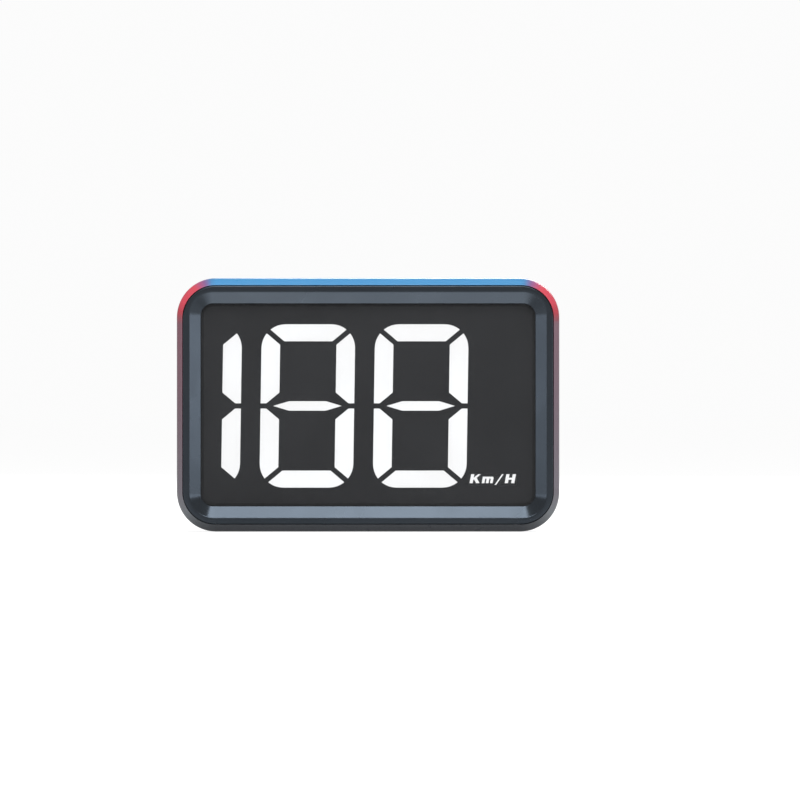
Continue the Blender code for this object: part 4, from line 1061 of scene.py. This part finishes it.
# ================================================================ front half of the case
@dataclass
class FrontHalf:
    """Bezel with its nose, bevel and lens pocket, the coloured rim, the lens and its gasket."""

    paints: Paints
    outline: CaseOutline = field(default_factory=CaseOutline)
    front_y: float = -0.0090
    parting_y: float = 0.00252
    wall: float = 0.0016
    corner: float = CASE_CORNER
    nose: Inset = (0.00135, 0.00165, 0.0067)
    ring: Inset = (0.0026, 0.0029, 0.0051)
    window: Inset = (0.00502, 0.00532, 0.0026)
    pocket: Inset = (0.00392, 0.00422, 0.0037)
    lens: Inset = (0.00402, 0.00432, 0.0036)
    rim: Inset = (0.0012, 0.0015, 0.00685)
    bevel_depth: float = 0.0017
    lip_depth: float = 0.0004
    ledge_y: float = -0.0042
    rim_back_y: float = -0.0054
    rim_drop: float = 0.0016
    lens_edge: float = 0.00012
    boss_end: float = 0.0022
    boss_radius: float = 0.0024
    boss_bore: Place = (0.00085, 0.0047)
    post_seat: float = 0.00055
    post_radius: float = 0.0017
    post_bore: Place = (0.00065, 0.0022)

    def build(self) -> None:
        """Builds and dresses every piece of the front half."""
        self.build_bezel()
        self.build_bosses()
        self.build_rim()
        self.build_lens()
        self.paints.finish_node("foam", "lens_gasket")

    def build_bezel(self) -> None:
        """The bezel: one profile carried round the case, with every edge eased."""
        out, inside = (0.0, 0.0, self.corner), (self.wall, self.wall, self.corner - self.wall)
        bevel_y, seat_y = self.front_y + self.bevel_depth, self.front_y + self.bevel_depth + self.lip_depth
        shoulder_y = self.rim_back_y + CLEARANCE
        rows = np.array([
            (*self.nose, self.front_y), (*self.ring, self.front_y), (*self.window, bevel_y),
            (*self.window, seat_y), (*self.pocket, seat_y), (*self.pocket, self.ledge_y),
            (*inside, self.ledge_y), (*inside, self.parting_y), (*out, self.parting_y),
            (*out, shoulder_y), (*self.nose, shoulder_y),
        ])  # fmt: skip
        front_eases, pocket_eases = (0.00020, 0.00016, 0.00012, 0.00008), (0.00005, 0.0001)
        wall_eases, rim_eases = (0.0002, 0.0001, 0.00015), (0.00012, 0.0001)
        eases = front_eases + pocket_eases + wall_eases + rim_eases
        profile = softened(rows, eases, True, 5, ROW_WEIGHTS)
        piece = closed_mesh("bezel", [self.outline.ring(profile)], ring=True)
        self.paints.finish_piece(piece, "case", "case", ["front_bezel"], self.paints.bezel)

    def build_bosses(self) -> None:
        """Screw bosses in the corners and posts for the display's board, as tubes with a blind bore."""
        def tube(node: str, high: float, radius: float, bore: Place) -> Array:
            """A post along Y at a screw's place, bored from its far end by a radius and a depth."""
            x, _, z = middle_of(node)
            low, floor = self.ledge_y - OVERLAP, high - bore[1]
            corners = np.array([
                (low, radius * 0.3), (low, radius), (high, radius),
                (high, bore[0]), (floor, bore[0]), (floor, bore[0] * 0.3),
            ])  # fmt: skip
            return spun(softened(corners, 0.00015, False, 3), (x, 0.0, z), Way.ALONG_Y, 32)

        seat = box_of("led_board")[0][1] + self.post_seat
        bosses = [tube(f"case_screw_{n}", self.boss_end, self.boss_radius, self.boss_bore) for n in FOUR]
        posts = [tube(f"display_screw_{n}", seat, self.post_radius, self.post_bore) for n in FOUR]
        piece = closed_mesh("bezel_bosses", bosses + posts)
        self.paints.finish_piece(piece, "case", "case")

    def build_rim(self) -> None:
        """The coloured rim: a ring with a crowned chamfer round the front edge."""
        out = (0.0, 0.0, self.corner)
        rows = np.array([
            (*out, self.rim_back_y), (*out, self.front_y + self.rim_drop),
            (*self.rim, self.front_y + CLEARANCE), (*self.rim, self.rim_back_y),
        ])  # fmt: skip
        profile = softened(rows, (0.00012, 0.00070, 0.00022, 0.00008), True, 7, ROW_WEIGHTS)
        piece = closed_mesh("coloured_rim", [self.outline.ring(profile)], ring=True)
        self.paints.finish_piece(piece, "rim", "case", ["trim_ring"])

    def build_lens(self) -> None:
        """The lens: a plate with eased edges behind the bezel's lip."""
        low, high = box_of("display_lens")
        side, end, radius = self.lens
        depth, inset = block_stations(low[1], high[1], self.lens_edge).T
        rows = np.stack([side + inset, end + inset, radius - inset, depth], axis=1)
        piece = closed_mesh("front_lens", [self.outline.ring(rows)])
        self.paints.finish_piece(piece, "lens", "case", ["display_lens"])


# ================================================================ display and electronics
@dataclass
class Display:
    """Mask, lit inserts, light-well block and the board behind them; all of them keep their CAD shapes."""

    paints: Paints

    def build(self) -> None:
        """Dresses every node of the display."""
        self.paints.finish_node("mask", "segment_mask")
        self.paints.finish_node("lit", "digit_hundreds", "digit_tens", "digit_units", "unit_legend")
        self.paints.finish_node("white_plastic", "reflector_block")
        self.paints.finish_node("board", "led_board")
        self.paints.finish_node("chip", "led_driver")
        self.paints.finish_node("screw", *(f"display_screw_{n}" for n in FOUR))


@dataclass
class Electronics:
    """Main board and what it carries, the antenna, the battery and the leads."""

    paints: Paints
    socket_wall: float = 0.0003
    socket_floor: float = 0.0013
    floor_inset: float = 0.0009
    mouth_edge: float = 0.00014
    tongue_corner: float = 0.00015
    tongue_edge: float = 0.00006

    def build(self) -> None:
        """Dresses the nodes that keep their shapes and builds the charging socket."""
        self.paints.finish_node("board", "main_board")
        self.paints.finish_node("screw", *(f"board_screw_{n}" for n in FOUR))
        self.paints.finish_node("chip", "microcontroller", "charger_chip")
        self.paints.finish_node("steel", "gps_receiver", "power_switch")
        self.paints.finish_node("black", "board_header", "buzzer", "mode_switch", "set_switch")
        self.paints.finish_node("black", "antenna_cable", "battery_lead_negative", "solar_lead_negative")
        self.paints.finish_node("red", "battery_lead_positive", "solar_lead_positive")
        self.paints.finish_node("ceramic", "gps_antenna")
        self.paints.finish_node("foam", "antenna_pad", "battery_pad")
        self.paints.finish_node("brass", "antenna_socket")
        self.paints.finish_node("white_plastic", "battery_connector")
        self.paints.finish_node("silver", "battery")
        self.build_socket()
        self.build_tongue()

    def build_socket(self) -> None:
        """The socket's shell: a long round-ended tube, closed at its inner end, with a rolled mouth."""
        low, high = box_of("usb_socket")
        middle, half = (low + high) / 2, (high - low) / 2
        section = rounded_rectangle((half[1], half[2]), half[1] - 1e-6, (middle[1], middle[2]), 12)
        start, mouth, floor = low[0], high[0], low[0] + self.socket_floor
        stations = np.array([
            (start, self.floor_inset), (start, 0.0), (mouth, 0.0),
            (mouth, self.socket_wall), (floor, self.socket_wall), (floor, self.floor_inset),
        ])  # fmt: skip
        grid = carried(section, softened(stations, self.mouth_edge, False, 4), Way.ALONG_X)
        piece = closed_mesh("charging_socket", [grid])
        self.paints.finish_piece(piece, "steel", "case", ["usb_socket"])

    def build_tongue(self) -> None:
        """The socket's tongue, rounded at its front edge."""
        grid = block(*box_of("usb_tongue"), Way.ALONG_X, self.tongue_corner, self.tongue_edge, 4)
        piece = closed_mesh("socket_tongue", [grid])
        self.paints.finish_piece(piece, "black", "case", ["usb_tongue"], self.paints.tongue)


# ================================================================ rear half of the case
@dataclass
class RearCover:
    """Rear shell with its recesses and holes, its screws and the solar panel."""

    paints: Paints
    outline: CaseOutline = field(default_factory=CaseOutline)
    back_y: float = 0.0087
    back_insets: tuple[tuple[float, float], ...] = ((0.0, 0.0026), (0.0006, 0.0013), (0.0018, 0.0005))
    corner: float = CASE_CORNER
    joint_y: float = 0.00255
    tongue_y: float = 0.0010
    tongue_inset: float = 0.00175
    inner_inset: float = 0.0026
    inner_y: float = INNER_Y
    centre_step: float = 0.0006
    floor: float = 0.0011
    recess_half: float = 0.0223
    recess_top: float = 0.0226
    recess_y: float = 0.0051
    recess_low: float = -0.004
    recess_side: float = 0.0016
    recess_corner: float = 0.0008
    box_low: float = 0.0008
    past: float = 0.001
    pull_radius: float = 0.0017
    pull_width: float = 0.0100
    counterbore: Place = (0.0018, 0.0057)
    boss_radius: float = 0.0024
    boss_start: float = 0.0023
    post_radius: float = 0.0016
    post_start: float = 0.00315
    screw_hole: Place = (0.0012, 0.001)
    pilot: Inset = (0.0021, 0.00535, 0.00065)
    button_hole: float = 0.0027
    vents: int = 6
    vent_radius: float = 0.0005
    vent_ring: float = 0.0015
    slot: Place = (0.0025, 0.0010)
    slot_margin: float = 0.0012
    slot_depth: float = 0.0006
    lead_hole: Inset = (0.0050, 0.0080, 0.0005)
    lead_radius: float = 0.0004
    window_room: Place = (0.00015, 0.0001)
    window_corner: float = 0.0016
    window_depth: float = 0.0040
    panel_corner: float = 0.0004
    panel_edge: float = 0.00014
    edge: float = 0.00016

    def build(self) -> None:
        """Builds and dresses every piece of the rear half."""
        self.build_cover()
        self.build_screws()
        self.build_panel()

    def _slab(self, name: str, low: Sequence[float], high: Sequence[float], corner: float = 0.00002) -> Piece:
        """A block whose edges along Y have the radius given, in one span where it is next to nothing."""
        return closed_mesh(name, [block(low, high, Way.ALONG_Y, corner, steps=6 if corner > 0.0001 else 1)])

    def _rod(self, name: str, place: Place, low: float, high: float, radius: float) -> Piece:
        """A round bar along Y at x and z."""
        return closed_mesh(name, [bar(low, high, radius, (place[0], 0.0, place[1]), Way.ALONG_Y)])

    def _added(self) -> list[Piece]:
        """The floors of the two recesses and the columns for the screws, inside the shell."""
        seat, floor = self.inner_y + OVERLAP, self.floor
        low, high = box_of("solar_panel")
        wide, side = high[0] + floor, self.recess_half + self.recess_side
        panel_low = (-wide, low[1] - floor - CLEARANCE, low[2] - floor)
        box_low = (-side, self.recess_y - floor, self.box_low)
        parts = [
            self._slab("panel_floor", panel_low, (wide, seat, high[2] + floor)),
            self._slab("stand_box", box_low, (side, seat, self.recess_top + floor)),
        ]
        for n in FOUR:
            boss, post = across(f"case_screw_{n}"), across(f"board_screw_{n}")
            parts.append(self._rod(f"boss_{n}", boss, self.boss_start, seat, self.boss_radius))
            parts.append(self._rod(f"post_{n}", post, self.post_start, seat, self.post_radius))
        return parts

    def _removed(self) -> list[Piece]:
        """Cutters for the recesses, the holes, the vents, the slider's slot and the charging window."""
        out, behind = self.back_y + self.past, self.inner_y - self.past
        low, high = box_of("solar_panel")
        half, room = self.recess_half, 2 * CLEARANCE
        pull = (0.0, self.back_y, self.recess_top)
        scoop = bar(-self.pull_width / 2, self.pull_width / 2, self.pull_radius, pull, Way.ALONG_X, 48)
        parts = [
            self._slab(
                "panel_recess", (low[0] - room, low[1] - CLEARANCE, low[2] - room),
                (high[0] + room, out, high[2] + room), self.panel_corner,
            ),
            self._slab(
                "stand_recess", (-half, self.recess_y, self.recess_low), (half, out, self.recess_top),
                self.recess_corner,
            ),
            closed_mesh("finger_pull", [scoop]),
        ]  # fmt: skip
        radius, seat = self.counterbore
        start, hole = self.screw_hole
        profile = np.array([(start, hole), (seat, hole), (seat, radius), (out, radius)])
        for n in FOUR:
            x, z = across(f"case_screw_{n}")
            parts.append(closed_mesh(f"counterbore_{n}", [spun(profile, (x, 0.0, z), Way.ALONG_Y, 40)]))
            parts.append(self._rod(f"pilot_{n}", across(f"board_screw_{n}"), *self.pilot))
        for name in ("mode_button", "set_button"):
            parts.append(self._rod(f"{name}_hole", across(name), behind, out, self.button_hole))
        x, z = across("buzzer")
        for n, turn in enumerate(np.arange(self.vents) * 2 * np.pi / self.vents):
            vent = (x + self.vent_ring * math.cos(turn), z + self.vent_ring * math.sin(turn))
            parts.append(self._rod(f"vent_{n}", vent, behind, out, self.vent_radius))
        for name in ("solar_lead_positive", "solar_lead_negative"):
            end = box_of(name)[1] - self.lead_radius
            parts.append(self._rod(f"{name}_hole", (end[0], end[2]), *self.lead_hole))
        return parts + self._side_openings(out, behind)

    def _side_openings(self, out: float, behind: float) -> list[Piece]:
        """Cutters for the slider's pocket and slot, the charging window and the hinge pins' bores."""
        x, z = middle_of("power_switch")[0], middle_of("power_slider")[2]
        (reach, half), edge = self.slot, self.slot_margin
        pocket_y = self.back_y - self.slot_depth
        parts = [
            self._slab(
                "slider_pocket", (x - reach - edge, pocket_y, z - half - edge),
                (x + reach + edge, out, z + half + edge), 0.0012,
            ),
            self._slab("slider_slot", (x - reach, behind, z - half), (x + reach, out, z + half), 0.0004),
        ]  # fmt: skip
        low, high = box_of("usb_socket")
        room = np.array([0.0, *self.window_room])
        low, high = low - room, high + room
        low[0], high[0] = self.outline.half[0] - self.window_depth, self.outline.half[0] + self.past
        window = block(low, high, Way.ALONG_X, self.window_corner, steps=8)
        parts.append(closed_mesh("charging_window", [window]))
        for pin in PINS:
            outer = np.abs(box_of(pin)).max(axis=0)[0] + self.past
            parts.append(pin_bore(pin, self.recess_half - self.past, outer, tuple(middle_of(pin)[1:])))
        return parts

    def build_cover(self) -> None:
        """The shell: a cup carried round the case, with floors and columns joined and the openings cut."""
        def row(inset: float, depth: float) -> tuple[float, float, float, float]:
            """One outline parallel to the case's, at a depth."""
            return inset, inset, self.corner - inset, depth

        back = [row(inset, self.back_y - depth) for depth, inset in self.back_insets]
        rows = np.array([
            row(self.back_insets[0][1] + self.centre_step, self.back_y), *back, row(0.0, self.joint_y),
            row(self.tongue_inset, self.joint_y), row(self.tongue_inset, self.tongue_y),
            row(self.inner_inset, self.tongue_y), row(self.inner_inset, self.inner_y),
            row(self.inner_inset + self.centre_step, self.inner_y),
        ])  # fmt: skip
        eases = (0.0, 0.0005, 0.0006, 0.0012, 0.00015, 0.00005, 0.0001, 0.0001, 0.0002, 0.0)
        profile = softened(rows, eases, False, 4, ROW_WEIGHTS)
        piece = closed_mesh("rear_shell", [self.outline.ring(profile)])
        carve(piece, self._added(), Operation.JOIN)
        carve(piece, self._removed(), Operation.CUT)
        ease_edges(piece, self.edge)
        self.paints.finish_piece(piece, "case", "case", ["rear_cover"])

    def build_screws(self) -> None:
        """The case screws: crowned heads with a cross recess over a threaded shank."""
        for n in FOUR:
            node = f"case_screw_{n}"
            piece = closed_mesh(f"cover_screw_{n}", [CaseScrew(node).surface()])
            self.paints.finish_piece(piece, "screw", "case", [node])

    def build_panel(self) -> None:
        """The solar panel: a laminate plate with eased edges."""
        grid = block(*box_of("solar_panel"), Way.ALONG_Y, self.panel_corner, self.panel_edge)
        piece = closed_mesh("solar_laminate", [grid])
        self.paints.finish_piece(piece, "solar", "case", ["solar_panel"])


@dataclass(frozen=True)
class CaseScrew:
    """A pan-head screw along Y, as one surface of radius and turn."""

    node: str
    head_height: float = 0.0011
    crown: float = 0.00032
    recess: float = 0.00062
    arm: float = 0.00098
    blade: float = 0.00024
    shank: float = 0.0008
    thread_pitch: float = 0.0006
    thread_depth: float = 0.00013
    rounding: float = 0.0001
    flat_share: float = 0.93
    arm_wall: float = 0.00012
    blade_wall: float = 0.00006
    tip_length: float = 0.0006
    tip_share: float = 0.35
    rings: int = 30
    turns: int = 96

    def surface(self) -> Array:
        """The whole screw from the middle of its head to its tip.

        The head's top is y = top - crown * (r / R)^2, lowered by the recess where a point lies within the
        blade's half width and the arm's length of either arm of the cross, with soft walls. The thread is
        the shank's radius less a triangle wave of (distance / pitch + turn / 2 pi).

        Returns:
            (n, m, 3) grid of points.
        """
        low, high = box_of(self.node)
        centre, reach = (low + high) / 2, (high[0] - low[0]) / 2
        top, under, end = high[1], high[1] - self.head_height, low[1]
        crown_y, flat = top - self.crown, reach * self.flat_share
        turn = np.arange(self.turns) * 2 * np.pi / self.turns
        radius = np.linspace(0.02, 1.0, self.rings)[:, None] * flat
        x, z = radius * np.cos(turn), radius * np.sin(turn)
        dome = top - self.crown * (radius / reach) ** 2 + 0 * turn
        face = np.stack([x, dome - self.recess * self._cross(x, z), z], axis=-1)
        corners = np.array([
            (crown_y, flat), (crown_y - self.rounding, reach), (under, reach), (under, self.shank),
        ])  # fmt: skip
        edge = softened(corners, self.rounding, False, 3)[1:]
        side = spun(edge, (0.0, 0.0, 0.0), Way.ALONG_Y, self.turns)
        along = np.arange(under - self.rounding, end + self.tip_length, -self.thread_pitch / 6)[:, None]
        wave = np.abs((along / self.thread_pitch + turn / (2 * np.pi)) % 1.0 - 0.5) * 2
        thread = self.shank - self.thread_depth * wave
        rod = np.stack([thread * np.cos(turn), along + 0 * turn, thread * np.sin(turn)], axis=-1)
        tip = spun(np.array([(end, self.shank * self.tip_share)]), (0.0, 0.0, 0.0), Way.ALONG_Y, self.turns)
        return np.concatenate([face, side, rod, tip]) + np.array([centre[0], 0.0, centre[2]])

    def _cross(self, x: Array, z: Array) -> Array:
        """1 inside either arm of the cross and 0 outside, with soft walls."""
        def arm(along: Array, aside: Array) -> Array:
            """One arm of the cross."""
            long = np.clip((self.arm - np.abs(along)) / self.arm_wall, 0.0, 1.0)
            thin = np.clip((self.blade - np.abs(aside)) / self.blade_wall + 0.5, 0.0, 1.0)
            return long * thin

        return np.maximum(arm(x, z), arm(z, x))


# ================================================================ stand
@dataclass
class Stand:
    """Fold-out foot on its hinge, with the adhesive pad and its release film."""

    paints: Paints
    chamfer: float = 0.0008
    edge: float = 0.00022
    film: float = 0.00010
    pad_corner: float = 0.0015
    foam_edge: float = 0.00008
    film_edge: float = 0.00003
    bore_past: Place = (0.0002, 0.001)

    def build(self) -> None:
        """Builds and dresses the foot and the pad, and dresses the pins and washers."""
        self.build_foot()
        self.build_pad()
        self.paints.finish_node("steel", *PINS)
        washers = ("hinge_washer_left", "hinge_washer_right")
        self.paints.finish_node("white_plastic", *washers, material=self.paints.washer)

    def build_foot(self) -> None:
        """The foot: its side outline, round at the hinge, carried along X and bored for the pins."""
        low, high = box_of("stand_foot")
        radius = (high[1] - low[1]) / 2
        y, z, top = low[1] + radius, low[2] + radius, high[2]
        turn = np.linspace(np.pi, 2 * np.pi, 17)
        knuckle = np.stack([y + radius * np.cos(turn), z + radius * np.sin(turn)], axis=1)
        corners = np.array([
            knuckle[-1], (y + radius, top - self.chamfer), (y + radius - self.chamfer, top),
            (y - radius, top), knuckle[0],
        ])  # fmt: skip
        section = np.concatenate([knuckle, softened(corners, 0.0003, False, 4)[1:-1]])
        stations = block_stations(low[0], high[0], self.edge)
        piece = closed_mesh("stand_plate", [carried(section, stations, Way.ALONG_X)])
        bores = []
        for pin in PINS:
            inner = np.abs(box_of(pin)).min(axis=0)[0] - self.bore_past[0]
            bores.append(pin_bore(pin, inner, high[0] + self.bore_past[1], (y, z)))
        carve(piece, bores, Operation.CUT)
        smooth(piece)
        self.paints.finish_piece(piece, "case", "stand", ["stand_foot"])

    def build_pad(self) -> None:
        """The adhesive pad: a foam layer under a thin film."""
        low, high = box_of("adhesive_pad")
        split = high[1] - self.film
        foam_top, film_low = (high[0], split, high[2]), (low[0], split, low[2])
        foam = block(low, foam_top, Way.ALONG_Y, self.pad_corner, self.foam_edge, 10)
        film = block(film_low, high, Way.ALONG_Y, self.pad_corner, self.film_edge, 10)
        core = closed_mesh("pad_core", [foam])
        self.paints.finish_piece(core, "foam", "stand", ["adhesive_pad"], self.paints.pad_foam)
        cover = closed_mesh("pad_film", [film])
        self.paints.finish_piece(cover, "pad", "stand")


# ================================================================ controls
@dataclass
class Controls:
    """The two push buttons and the power slider."""

    paints: Paints
    cap_radius: float = 0.0025
    flange_radius: float = 0.0032
    flange: float = 0.0007
    stem_radius: float = 0.0009
    dish: float = 0.00016
    knob: Place = (0.0026, 0.0016)
    plate: float = 0.0008
    groove_pitch: float = 0.0007
    groove_depth: float = 0.0003
    groove_taper: float = 0.8
    cap_edge: float = 0.0003
    crown_step: Place = (0.0005, 0.0008)
    plate_corner: float = 0.0003
    inner_y: float = INNER_Y

    def build(self) -> None:
        """Builds and dresses every control."""
        for name in ("mode_button", "set_button"):
            self.build_button(name)
        self.build_slider()

    def build_button(self, name: str) -> None:
        """A button: stem, flange and a dished cap, spun round its own axis."""
        low, high = box_of(name)
        x, _, z = middle_of(name)
        start, crown, under = low[1], high[1], self.inner_y - CLEARANCE
        stem, flange, cap = self.stem_radius, self.flange_radius, self.cap_radius
        shoulder, brim = (cap - step for step in self.crown_step)
        corners = np.array([
            (start, stem * 0.4), (start, stem), (under - self.flange, stem), (under - self.flange, flange),
            (under, flange), (under, cap), (crown - self.cap_edge, cap), (crown, shoulder), (crown, brim),
        ])  # fmt: skip
        profile = softened(corners, self.cap_edge, False, 5)
        share = np.linspace(1.0, 0.02, 12)[1:]
        bowl = np.stack([crown - self.dish * (1 - share**2), share * brim], axis=1)
        grid = spun(np.concatenate([profile, bowl]), (x, 0.0, z), Way.ALONG_Y, 56)
        piece = closed_mesh(f"{name.split('_')[0]}_key", [grid])
        self.paints.finish_piece(piece, "button", name, [name])

    def build_slider(self) -> None:
        """The slider: a grooved knob, its side outline carried along Z, on a plate behind the wall."""
        low, high = box_of("power_slider")
        x, _, z = middle_of("power_slider")
        half, rise = self.knob[0] / 2, self.knob[1] / 2
        top, start, floor = high[1], low[1], high[1] - self.groove_depth
        mouth = self.groove_pitch / 4
        bottom = mouth * self.groove_taper
        grooves = np.concatenate([
            [(at + mouth, top), (at + bottom, floor), (at - bottom, floor), (at - mouth, top)]
            for at in x + np.array([1, 0, -1]) * self.groove_pitch
        ])  # fmt: skip
        first = [(x - half, start), (x + half, start), (x + half, top)]
        section = softened(np.concatenate([first, grooves, [(x - half, top)]]), 0.00009, True, 3)
        knob = carried(section, block_stations(z - rise, z + rise, 0.00005), Way.ALONG_Z)
        under = self.inner_y - CLEARANCE
        plate_low, plate_high = (low[0], under - self.plate, low[2]), (high[0], under, high[2])
        plate = block(plate_low, plate_high, Way.ALONG_Y, self.plate_corner, 0.00008, 4)
        piece = closed_mesh("slider_knob", [knob, plate])
        self.paints.finish_piece(piece, "button", "power_slider", ["power_slider"])


# ================================================================ studio
@dataclass(frozen=True)
class Softbox:
    """A rectangular soft light, known by its brightness, and aimed at a point."""

    name: str
    place: tuple[float, float, float]
    size: Place
    brightness: float
    colour: Colour = (1.0, 1.0, 1.0)
    aim: tuple[float, float, float] = (0.0, 0.0, 0.0265)
    spread: float = math.pi
    only_glints: bool = False

    def build(self) -> None:
        """Adds the light, hidden from the camera.

        Its power is pi times brightness times area, and less by 1 - h / tan h for a half spread of h.
        """
        light = bpy.data.lights.new(self.name, "AREA")
        light.shape = "RECTANGLE"
        light.size, light.size_y = self.size
        light.spread = self.spread
        half = self.spread / 2
        share = 1.0 - half / math.tan(half) if self.spread < math.pi else 1.0
        light.energy = math.pi * self.brightness * self.size[0] * self.size[1] * share
        light.color = self.colour
        holder = bpy.data.objects.new(self.name, light)
        holder.location = self.place
        away = Vector(self.aim) - Vector(self.place)
        holder.rotation_euler = away.to_track_quat("-Z", "Y").to_euler()
        holder.visible_camera = False
        holder.visible_diffuse = not self.only_glints
        bpy.context.scene.collection.objects.link(holder)


@dataclass
class Studio:
    """Pale floor, soft lights, pale surroundings and the camera."""

    centre: tuple[float, float, float] = (0.0, 0.0, 0.0265)
    distance: float = 1.5
    front_y: float = -0.009
    frame_width: float = 0.16712
    shift: Place = (0.0399, 0.0061)
    floor_half: float = 12.0
    floor_drop: float = 0.0001
    surround: float = 0.22
    backdrop: float = 0.97
    floor_glow: Place = (0.87, 0.20)
    boxes: tuple[Softbox, ...] = (
        Softbox("top_box", (0.0, -0.21, 0.62), (0.20, 0.34), 4.2, (0.97, 0.99, 1.0)),
        Softbox("left_box", (-0.62, -0.22, 0.05), (0.30, 0.16), 1.3, (0.93, 0.96, 1.0)),
        Softbox("right_box", (0.62, -0.22, 0.05), (0.30, 0.16), 2.1, (0.93, 0.96, 1.0)),
        Softbox("fill_box", (0.0, -1.10, 0.95), (0.90, 0.50), 5.0),
        Softbox(
            "floor_card", (0.0, -0.034, 0.0095), (0.078, 0.05), 1.48,
            aim=(0.0, 0.304, 0.9505), spread=math.radians(60), only_glints=True,
        ),
        Softbox("back_box", (0.25, 0.75, 0.55), (0.60, 0.40), 6.5),
    )

    def build(self) -> None:
        """Builds the whole studio."""
        self.build_floor()
        self.build_world()
        for box in self.boxes:
            box.build()
        self.build_camera()
        bpy.context.scene.view_settings.view_transform = "Standard"

    def build_floor(self) -> None:
        """A wide pale floor that is seen brighter than it lights the object."""
        side = np.array([-1.0, 1.0]) * self.floor_half
        x, y = np.meshgrid(side, side)
        points = np.stack([x, y, np.full_like(x, -self.floor_drop)], axis=-1).reshape(-1, 3)
        mesh = bpy.data.meshes.new("floor")
        mesh.from_pydata(points.tolist(), [], [(0, 1, 3, 2)])
        material = bpy.data.materials.new("pale_floor")
        material.use_nodes = True
        shader = material.node_tree.nodes["Principled BSDF"]
        shader.inputs["Base Color"].default_value = (0.45, 0.45, 0.45, 1.0)
        shader.inputs["Roughness"].default_value = 0.9
        shader.inputs["Specular IOR Level"].default_value = 0.0
        shader.inputs["Emission Color"].default_value = (1.0, 1.0, 1.0, 1.0)
        wires = Wiring(material.node_tree)
        seen = wires.add("LightPath").outputs["Is Camera Ray"]
        bright, dim = self.floor_glow
        glow = wires.math("MULTIPLY_ADD", seen, bright - dim, dim)
        material.node_tree.links.new(glow, shader.inputs["Emission Strength"])
        mesh.materials.append(material)
        floor = bpy.data.objects.new("floor", mesh)
        bpy.context.scene.collection.objects.link(floor)

    def build_world(self) -> None:
        """Surroundings: pale where they are seen, dimmer where they only light the object."""
        world = bpy.data.worlds.new("studio")
        world.use_nodes = True
        bpy.context.scene.world = world
        wires = Wiring(world.node_tree)
        path = wires.add("LightPath").outputs["Is Camera Ray"]
        strength = wires.math("MULTIPLY_ADD", path, self.backdrop - self.surround, self.surround)
        background = world.node_tree.nodes["Background"]
        background.inputs["Color"].default_value = (1.0, 1.0, 1.0, 1.0)
        world.node_tree.links.new(strength, background.inputs["Strength"])

    def build_camera(self) -> None:
        """A long lens straight in front of the display."""
        data = bpy.data.cameras.new("camera")
        data.sensor_width = 36.0
        data.lens = data.sensor_width * (self.distance + self.front_y) / self.frame_width
        data.shift_x, data.shift_y = self.shift
        data.clip_start, data.clip_end = 0.05, 60.0
        camera = bpy.data.objects.new("camera", data)
        camera.location = (self.centre[0], -self.distance, self.centre[2])
        camera.rotation_euler = (math.pi / 2, 0.0, 0.0)
        bpy.context.scene.collection.objects.link(camera)
        bpy.context.scene.camera = camera


def main() -> None:
    """Builds every sub-assembly in order, then the studio."""
    logging.basicConfig(level=logging.INFO, format="%(name)s: %(message)s")
    paints = Paints()
    for kind in (FrontHalf, Display, Electronics, RearCover, Stand, Controls):
        kind(paints).build()
        log.info("%s done", kind.__name__)
    Studio().build()


if __name__ == "__main__":
    main()
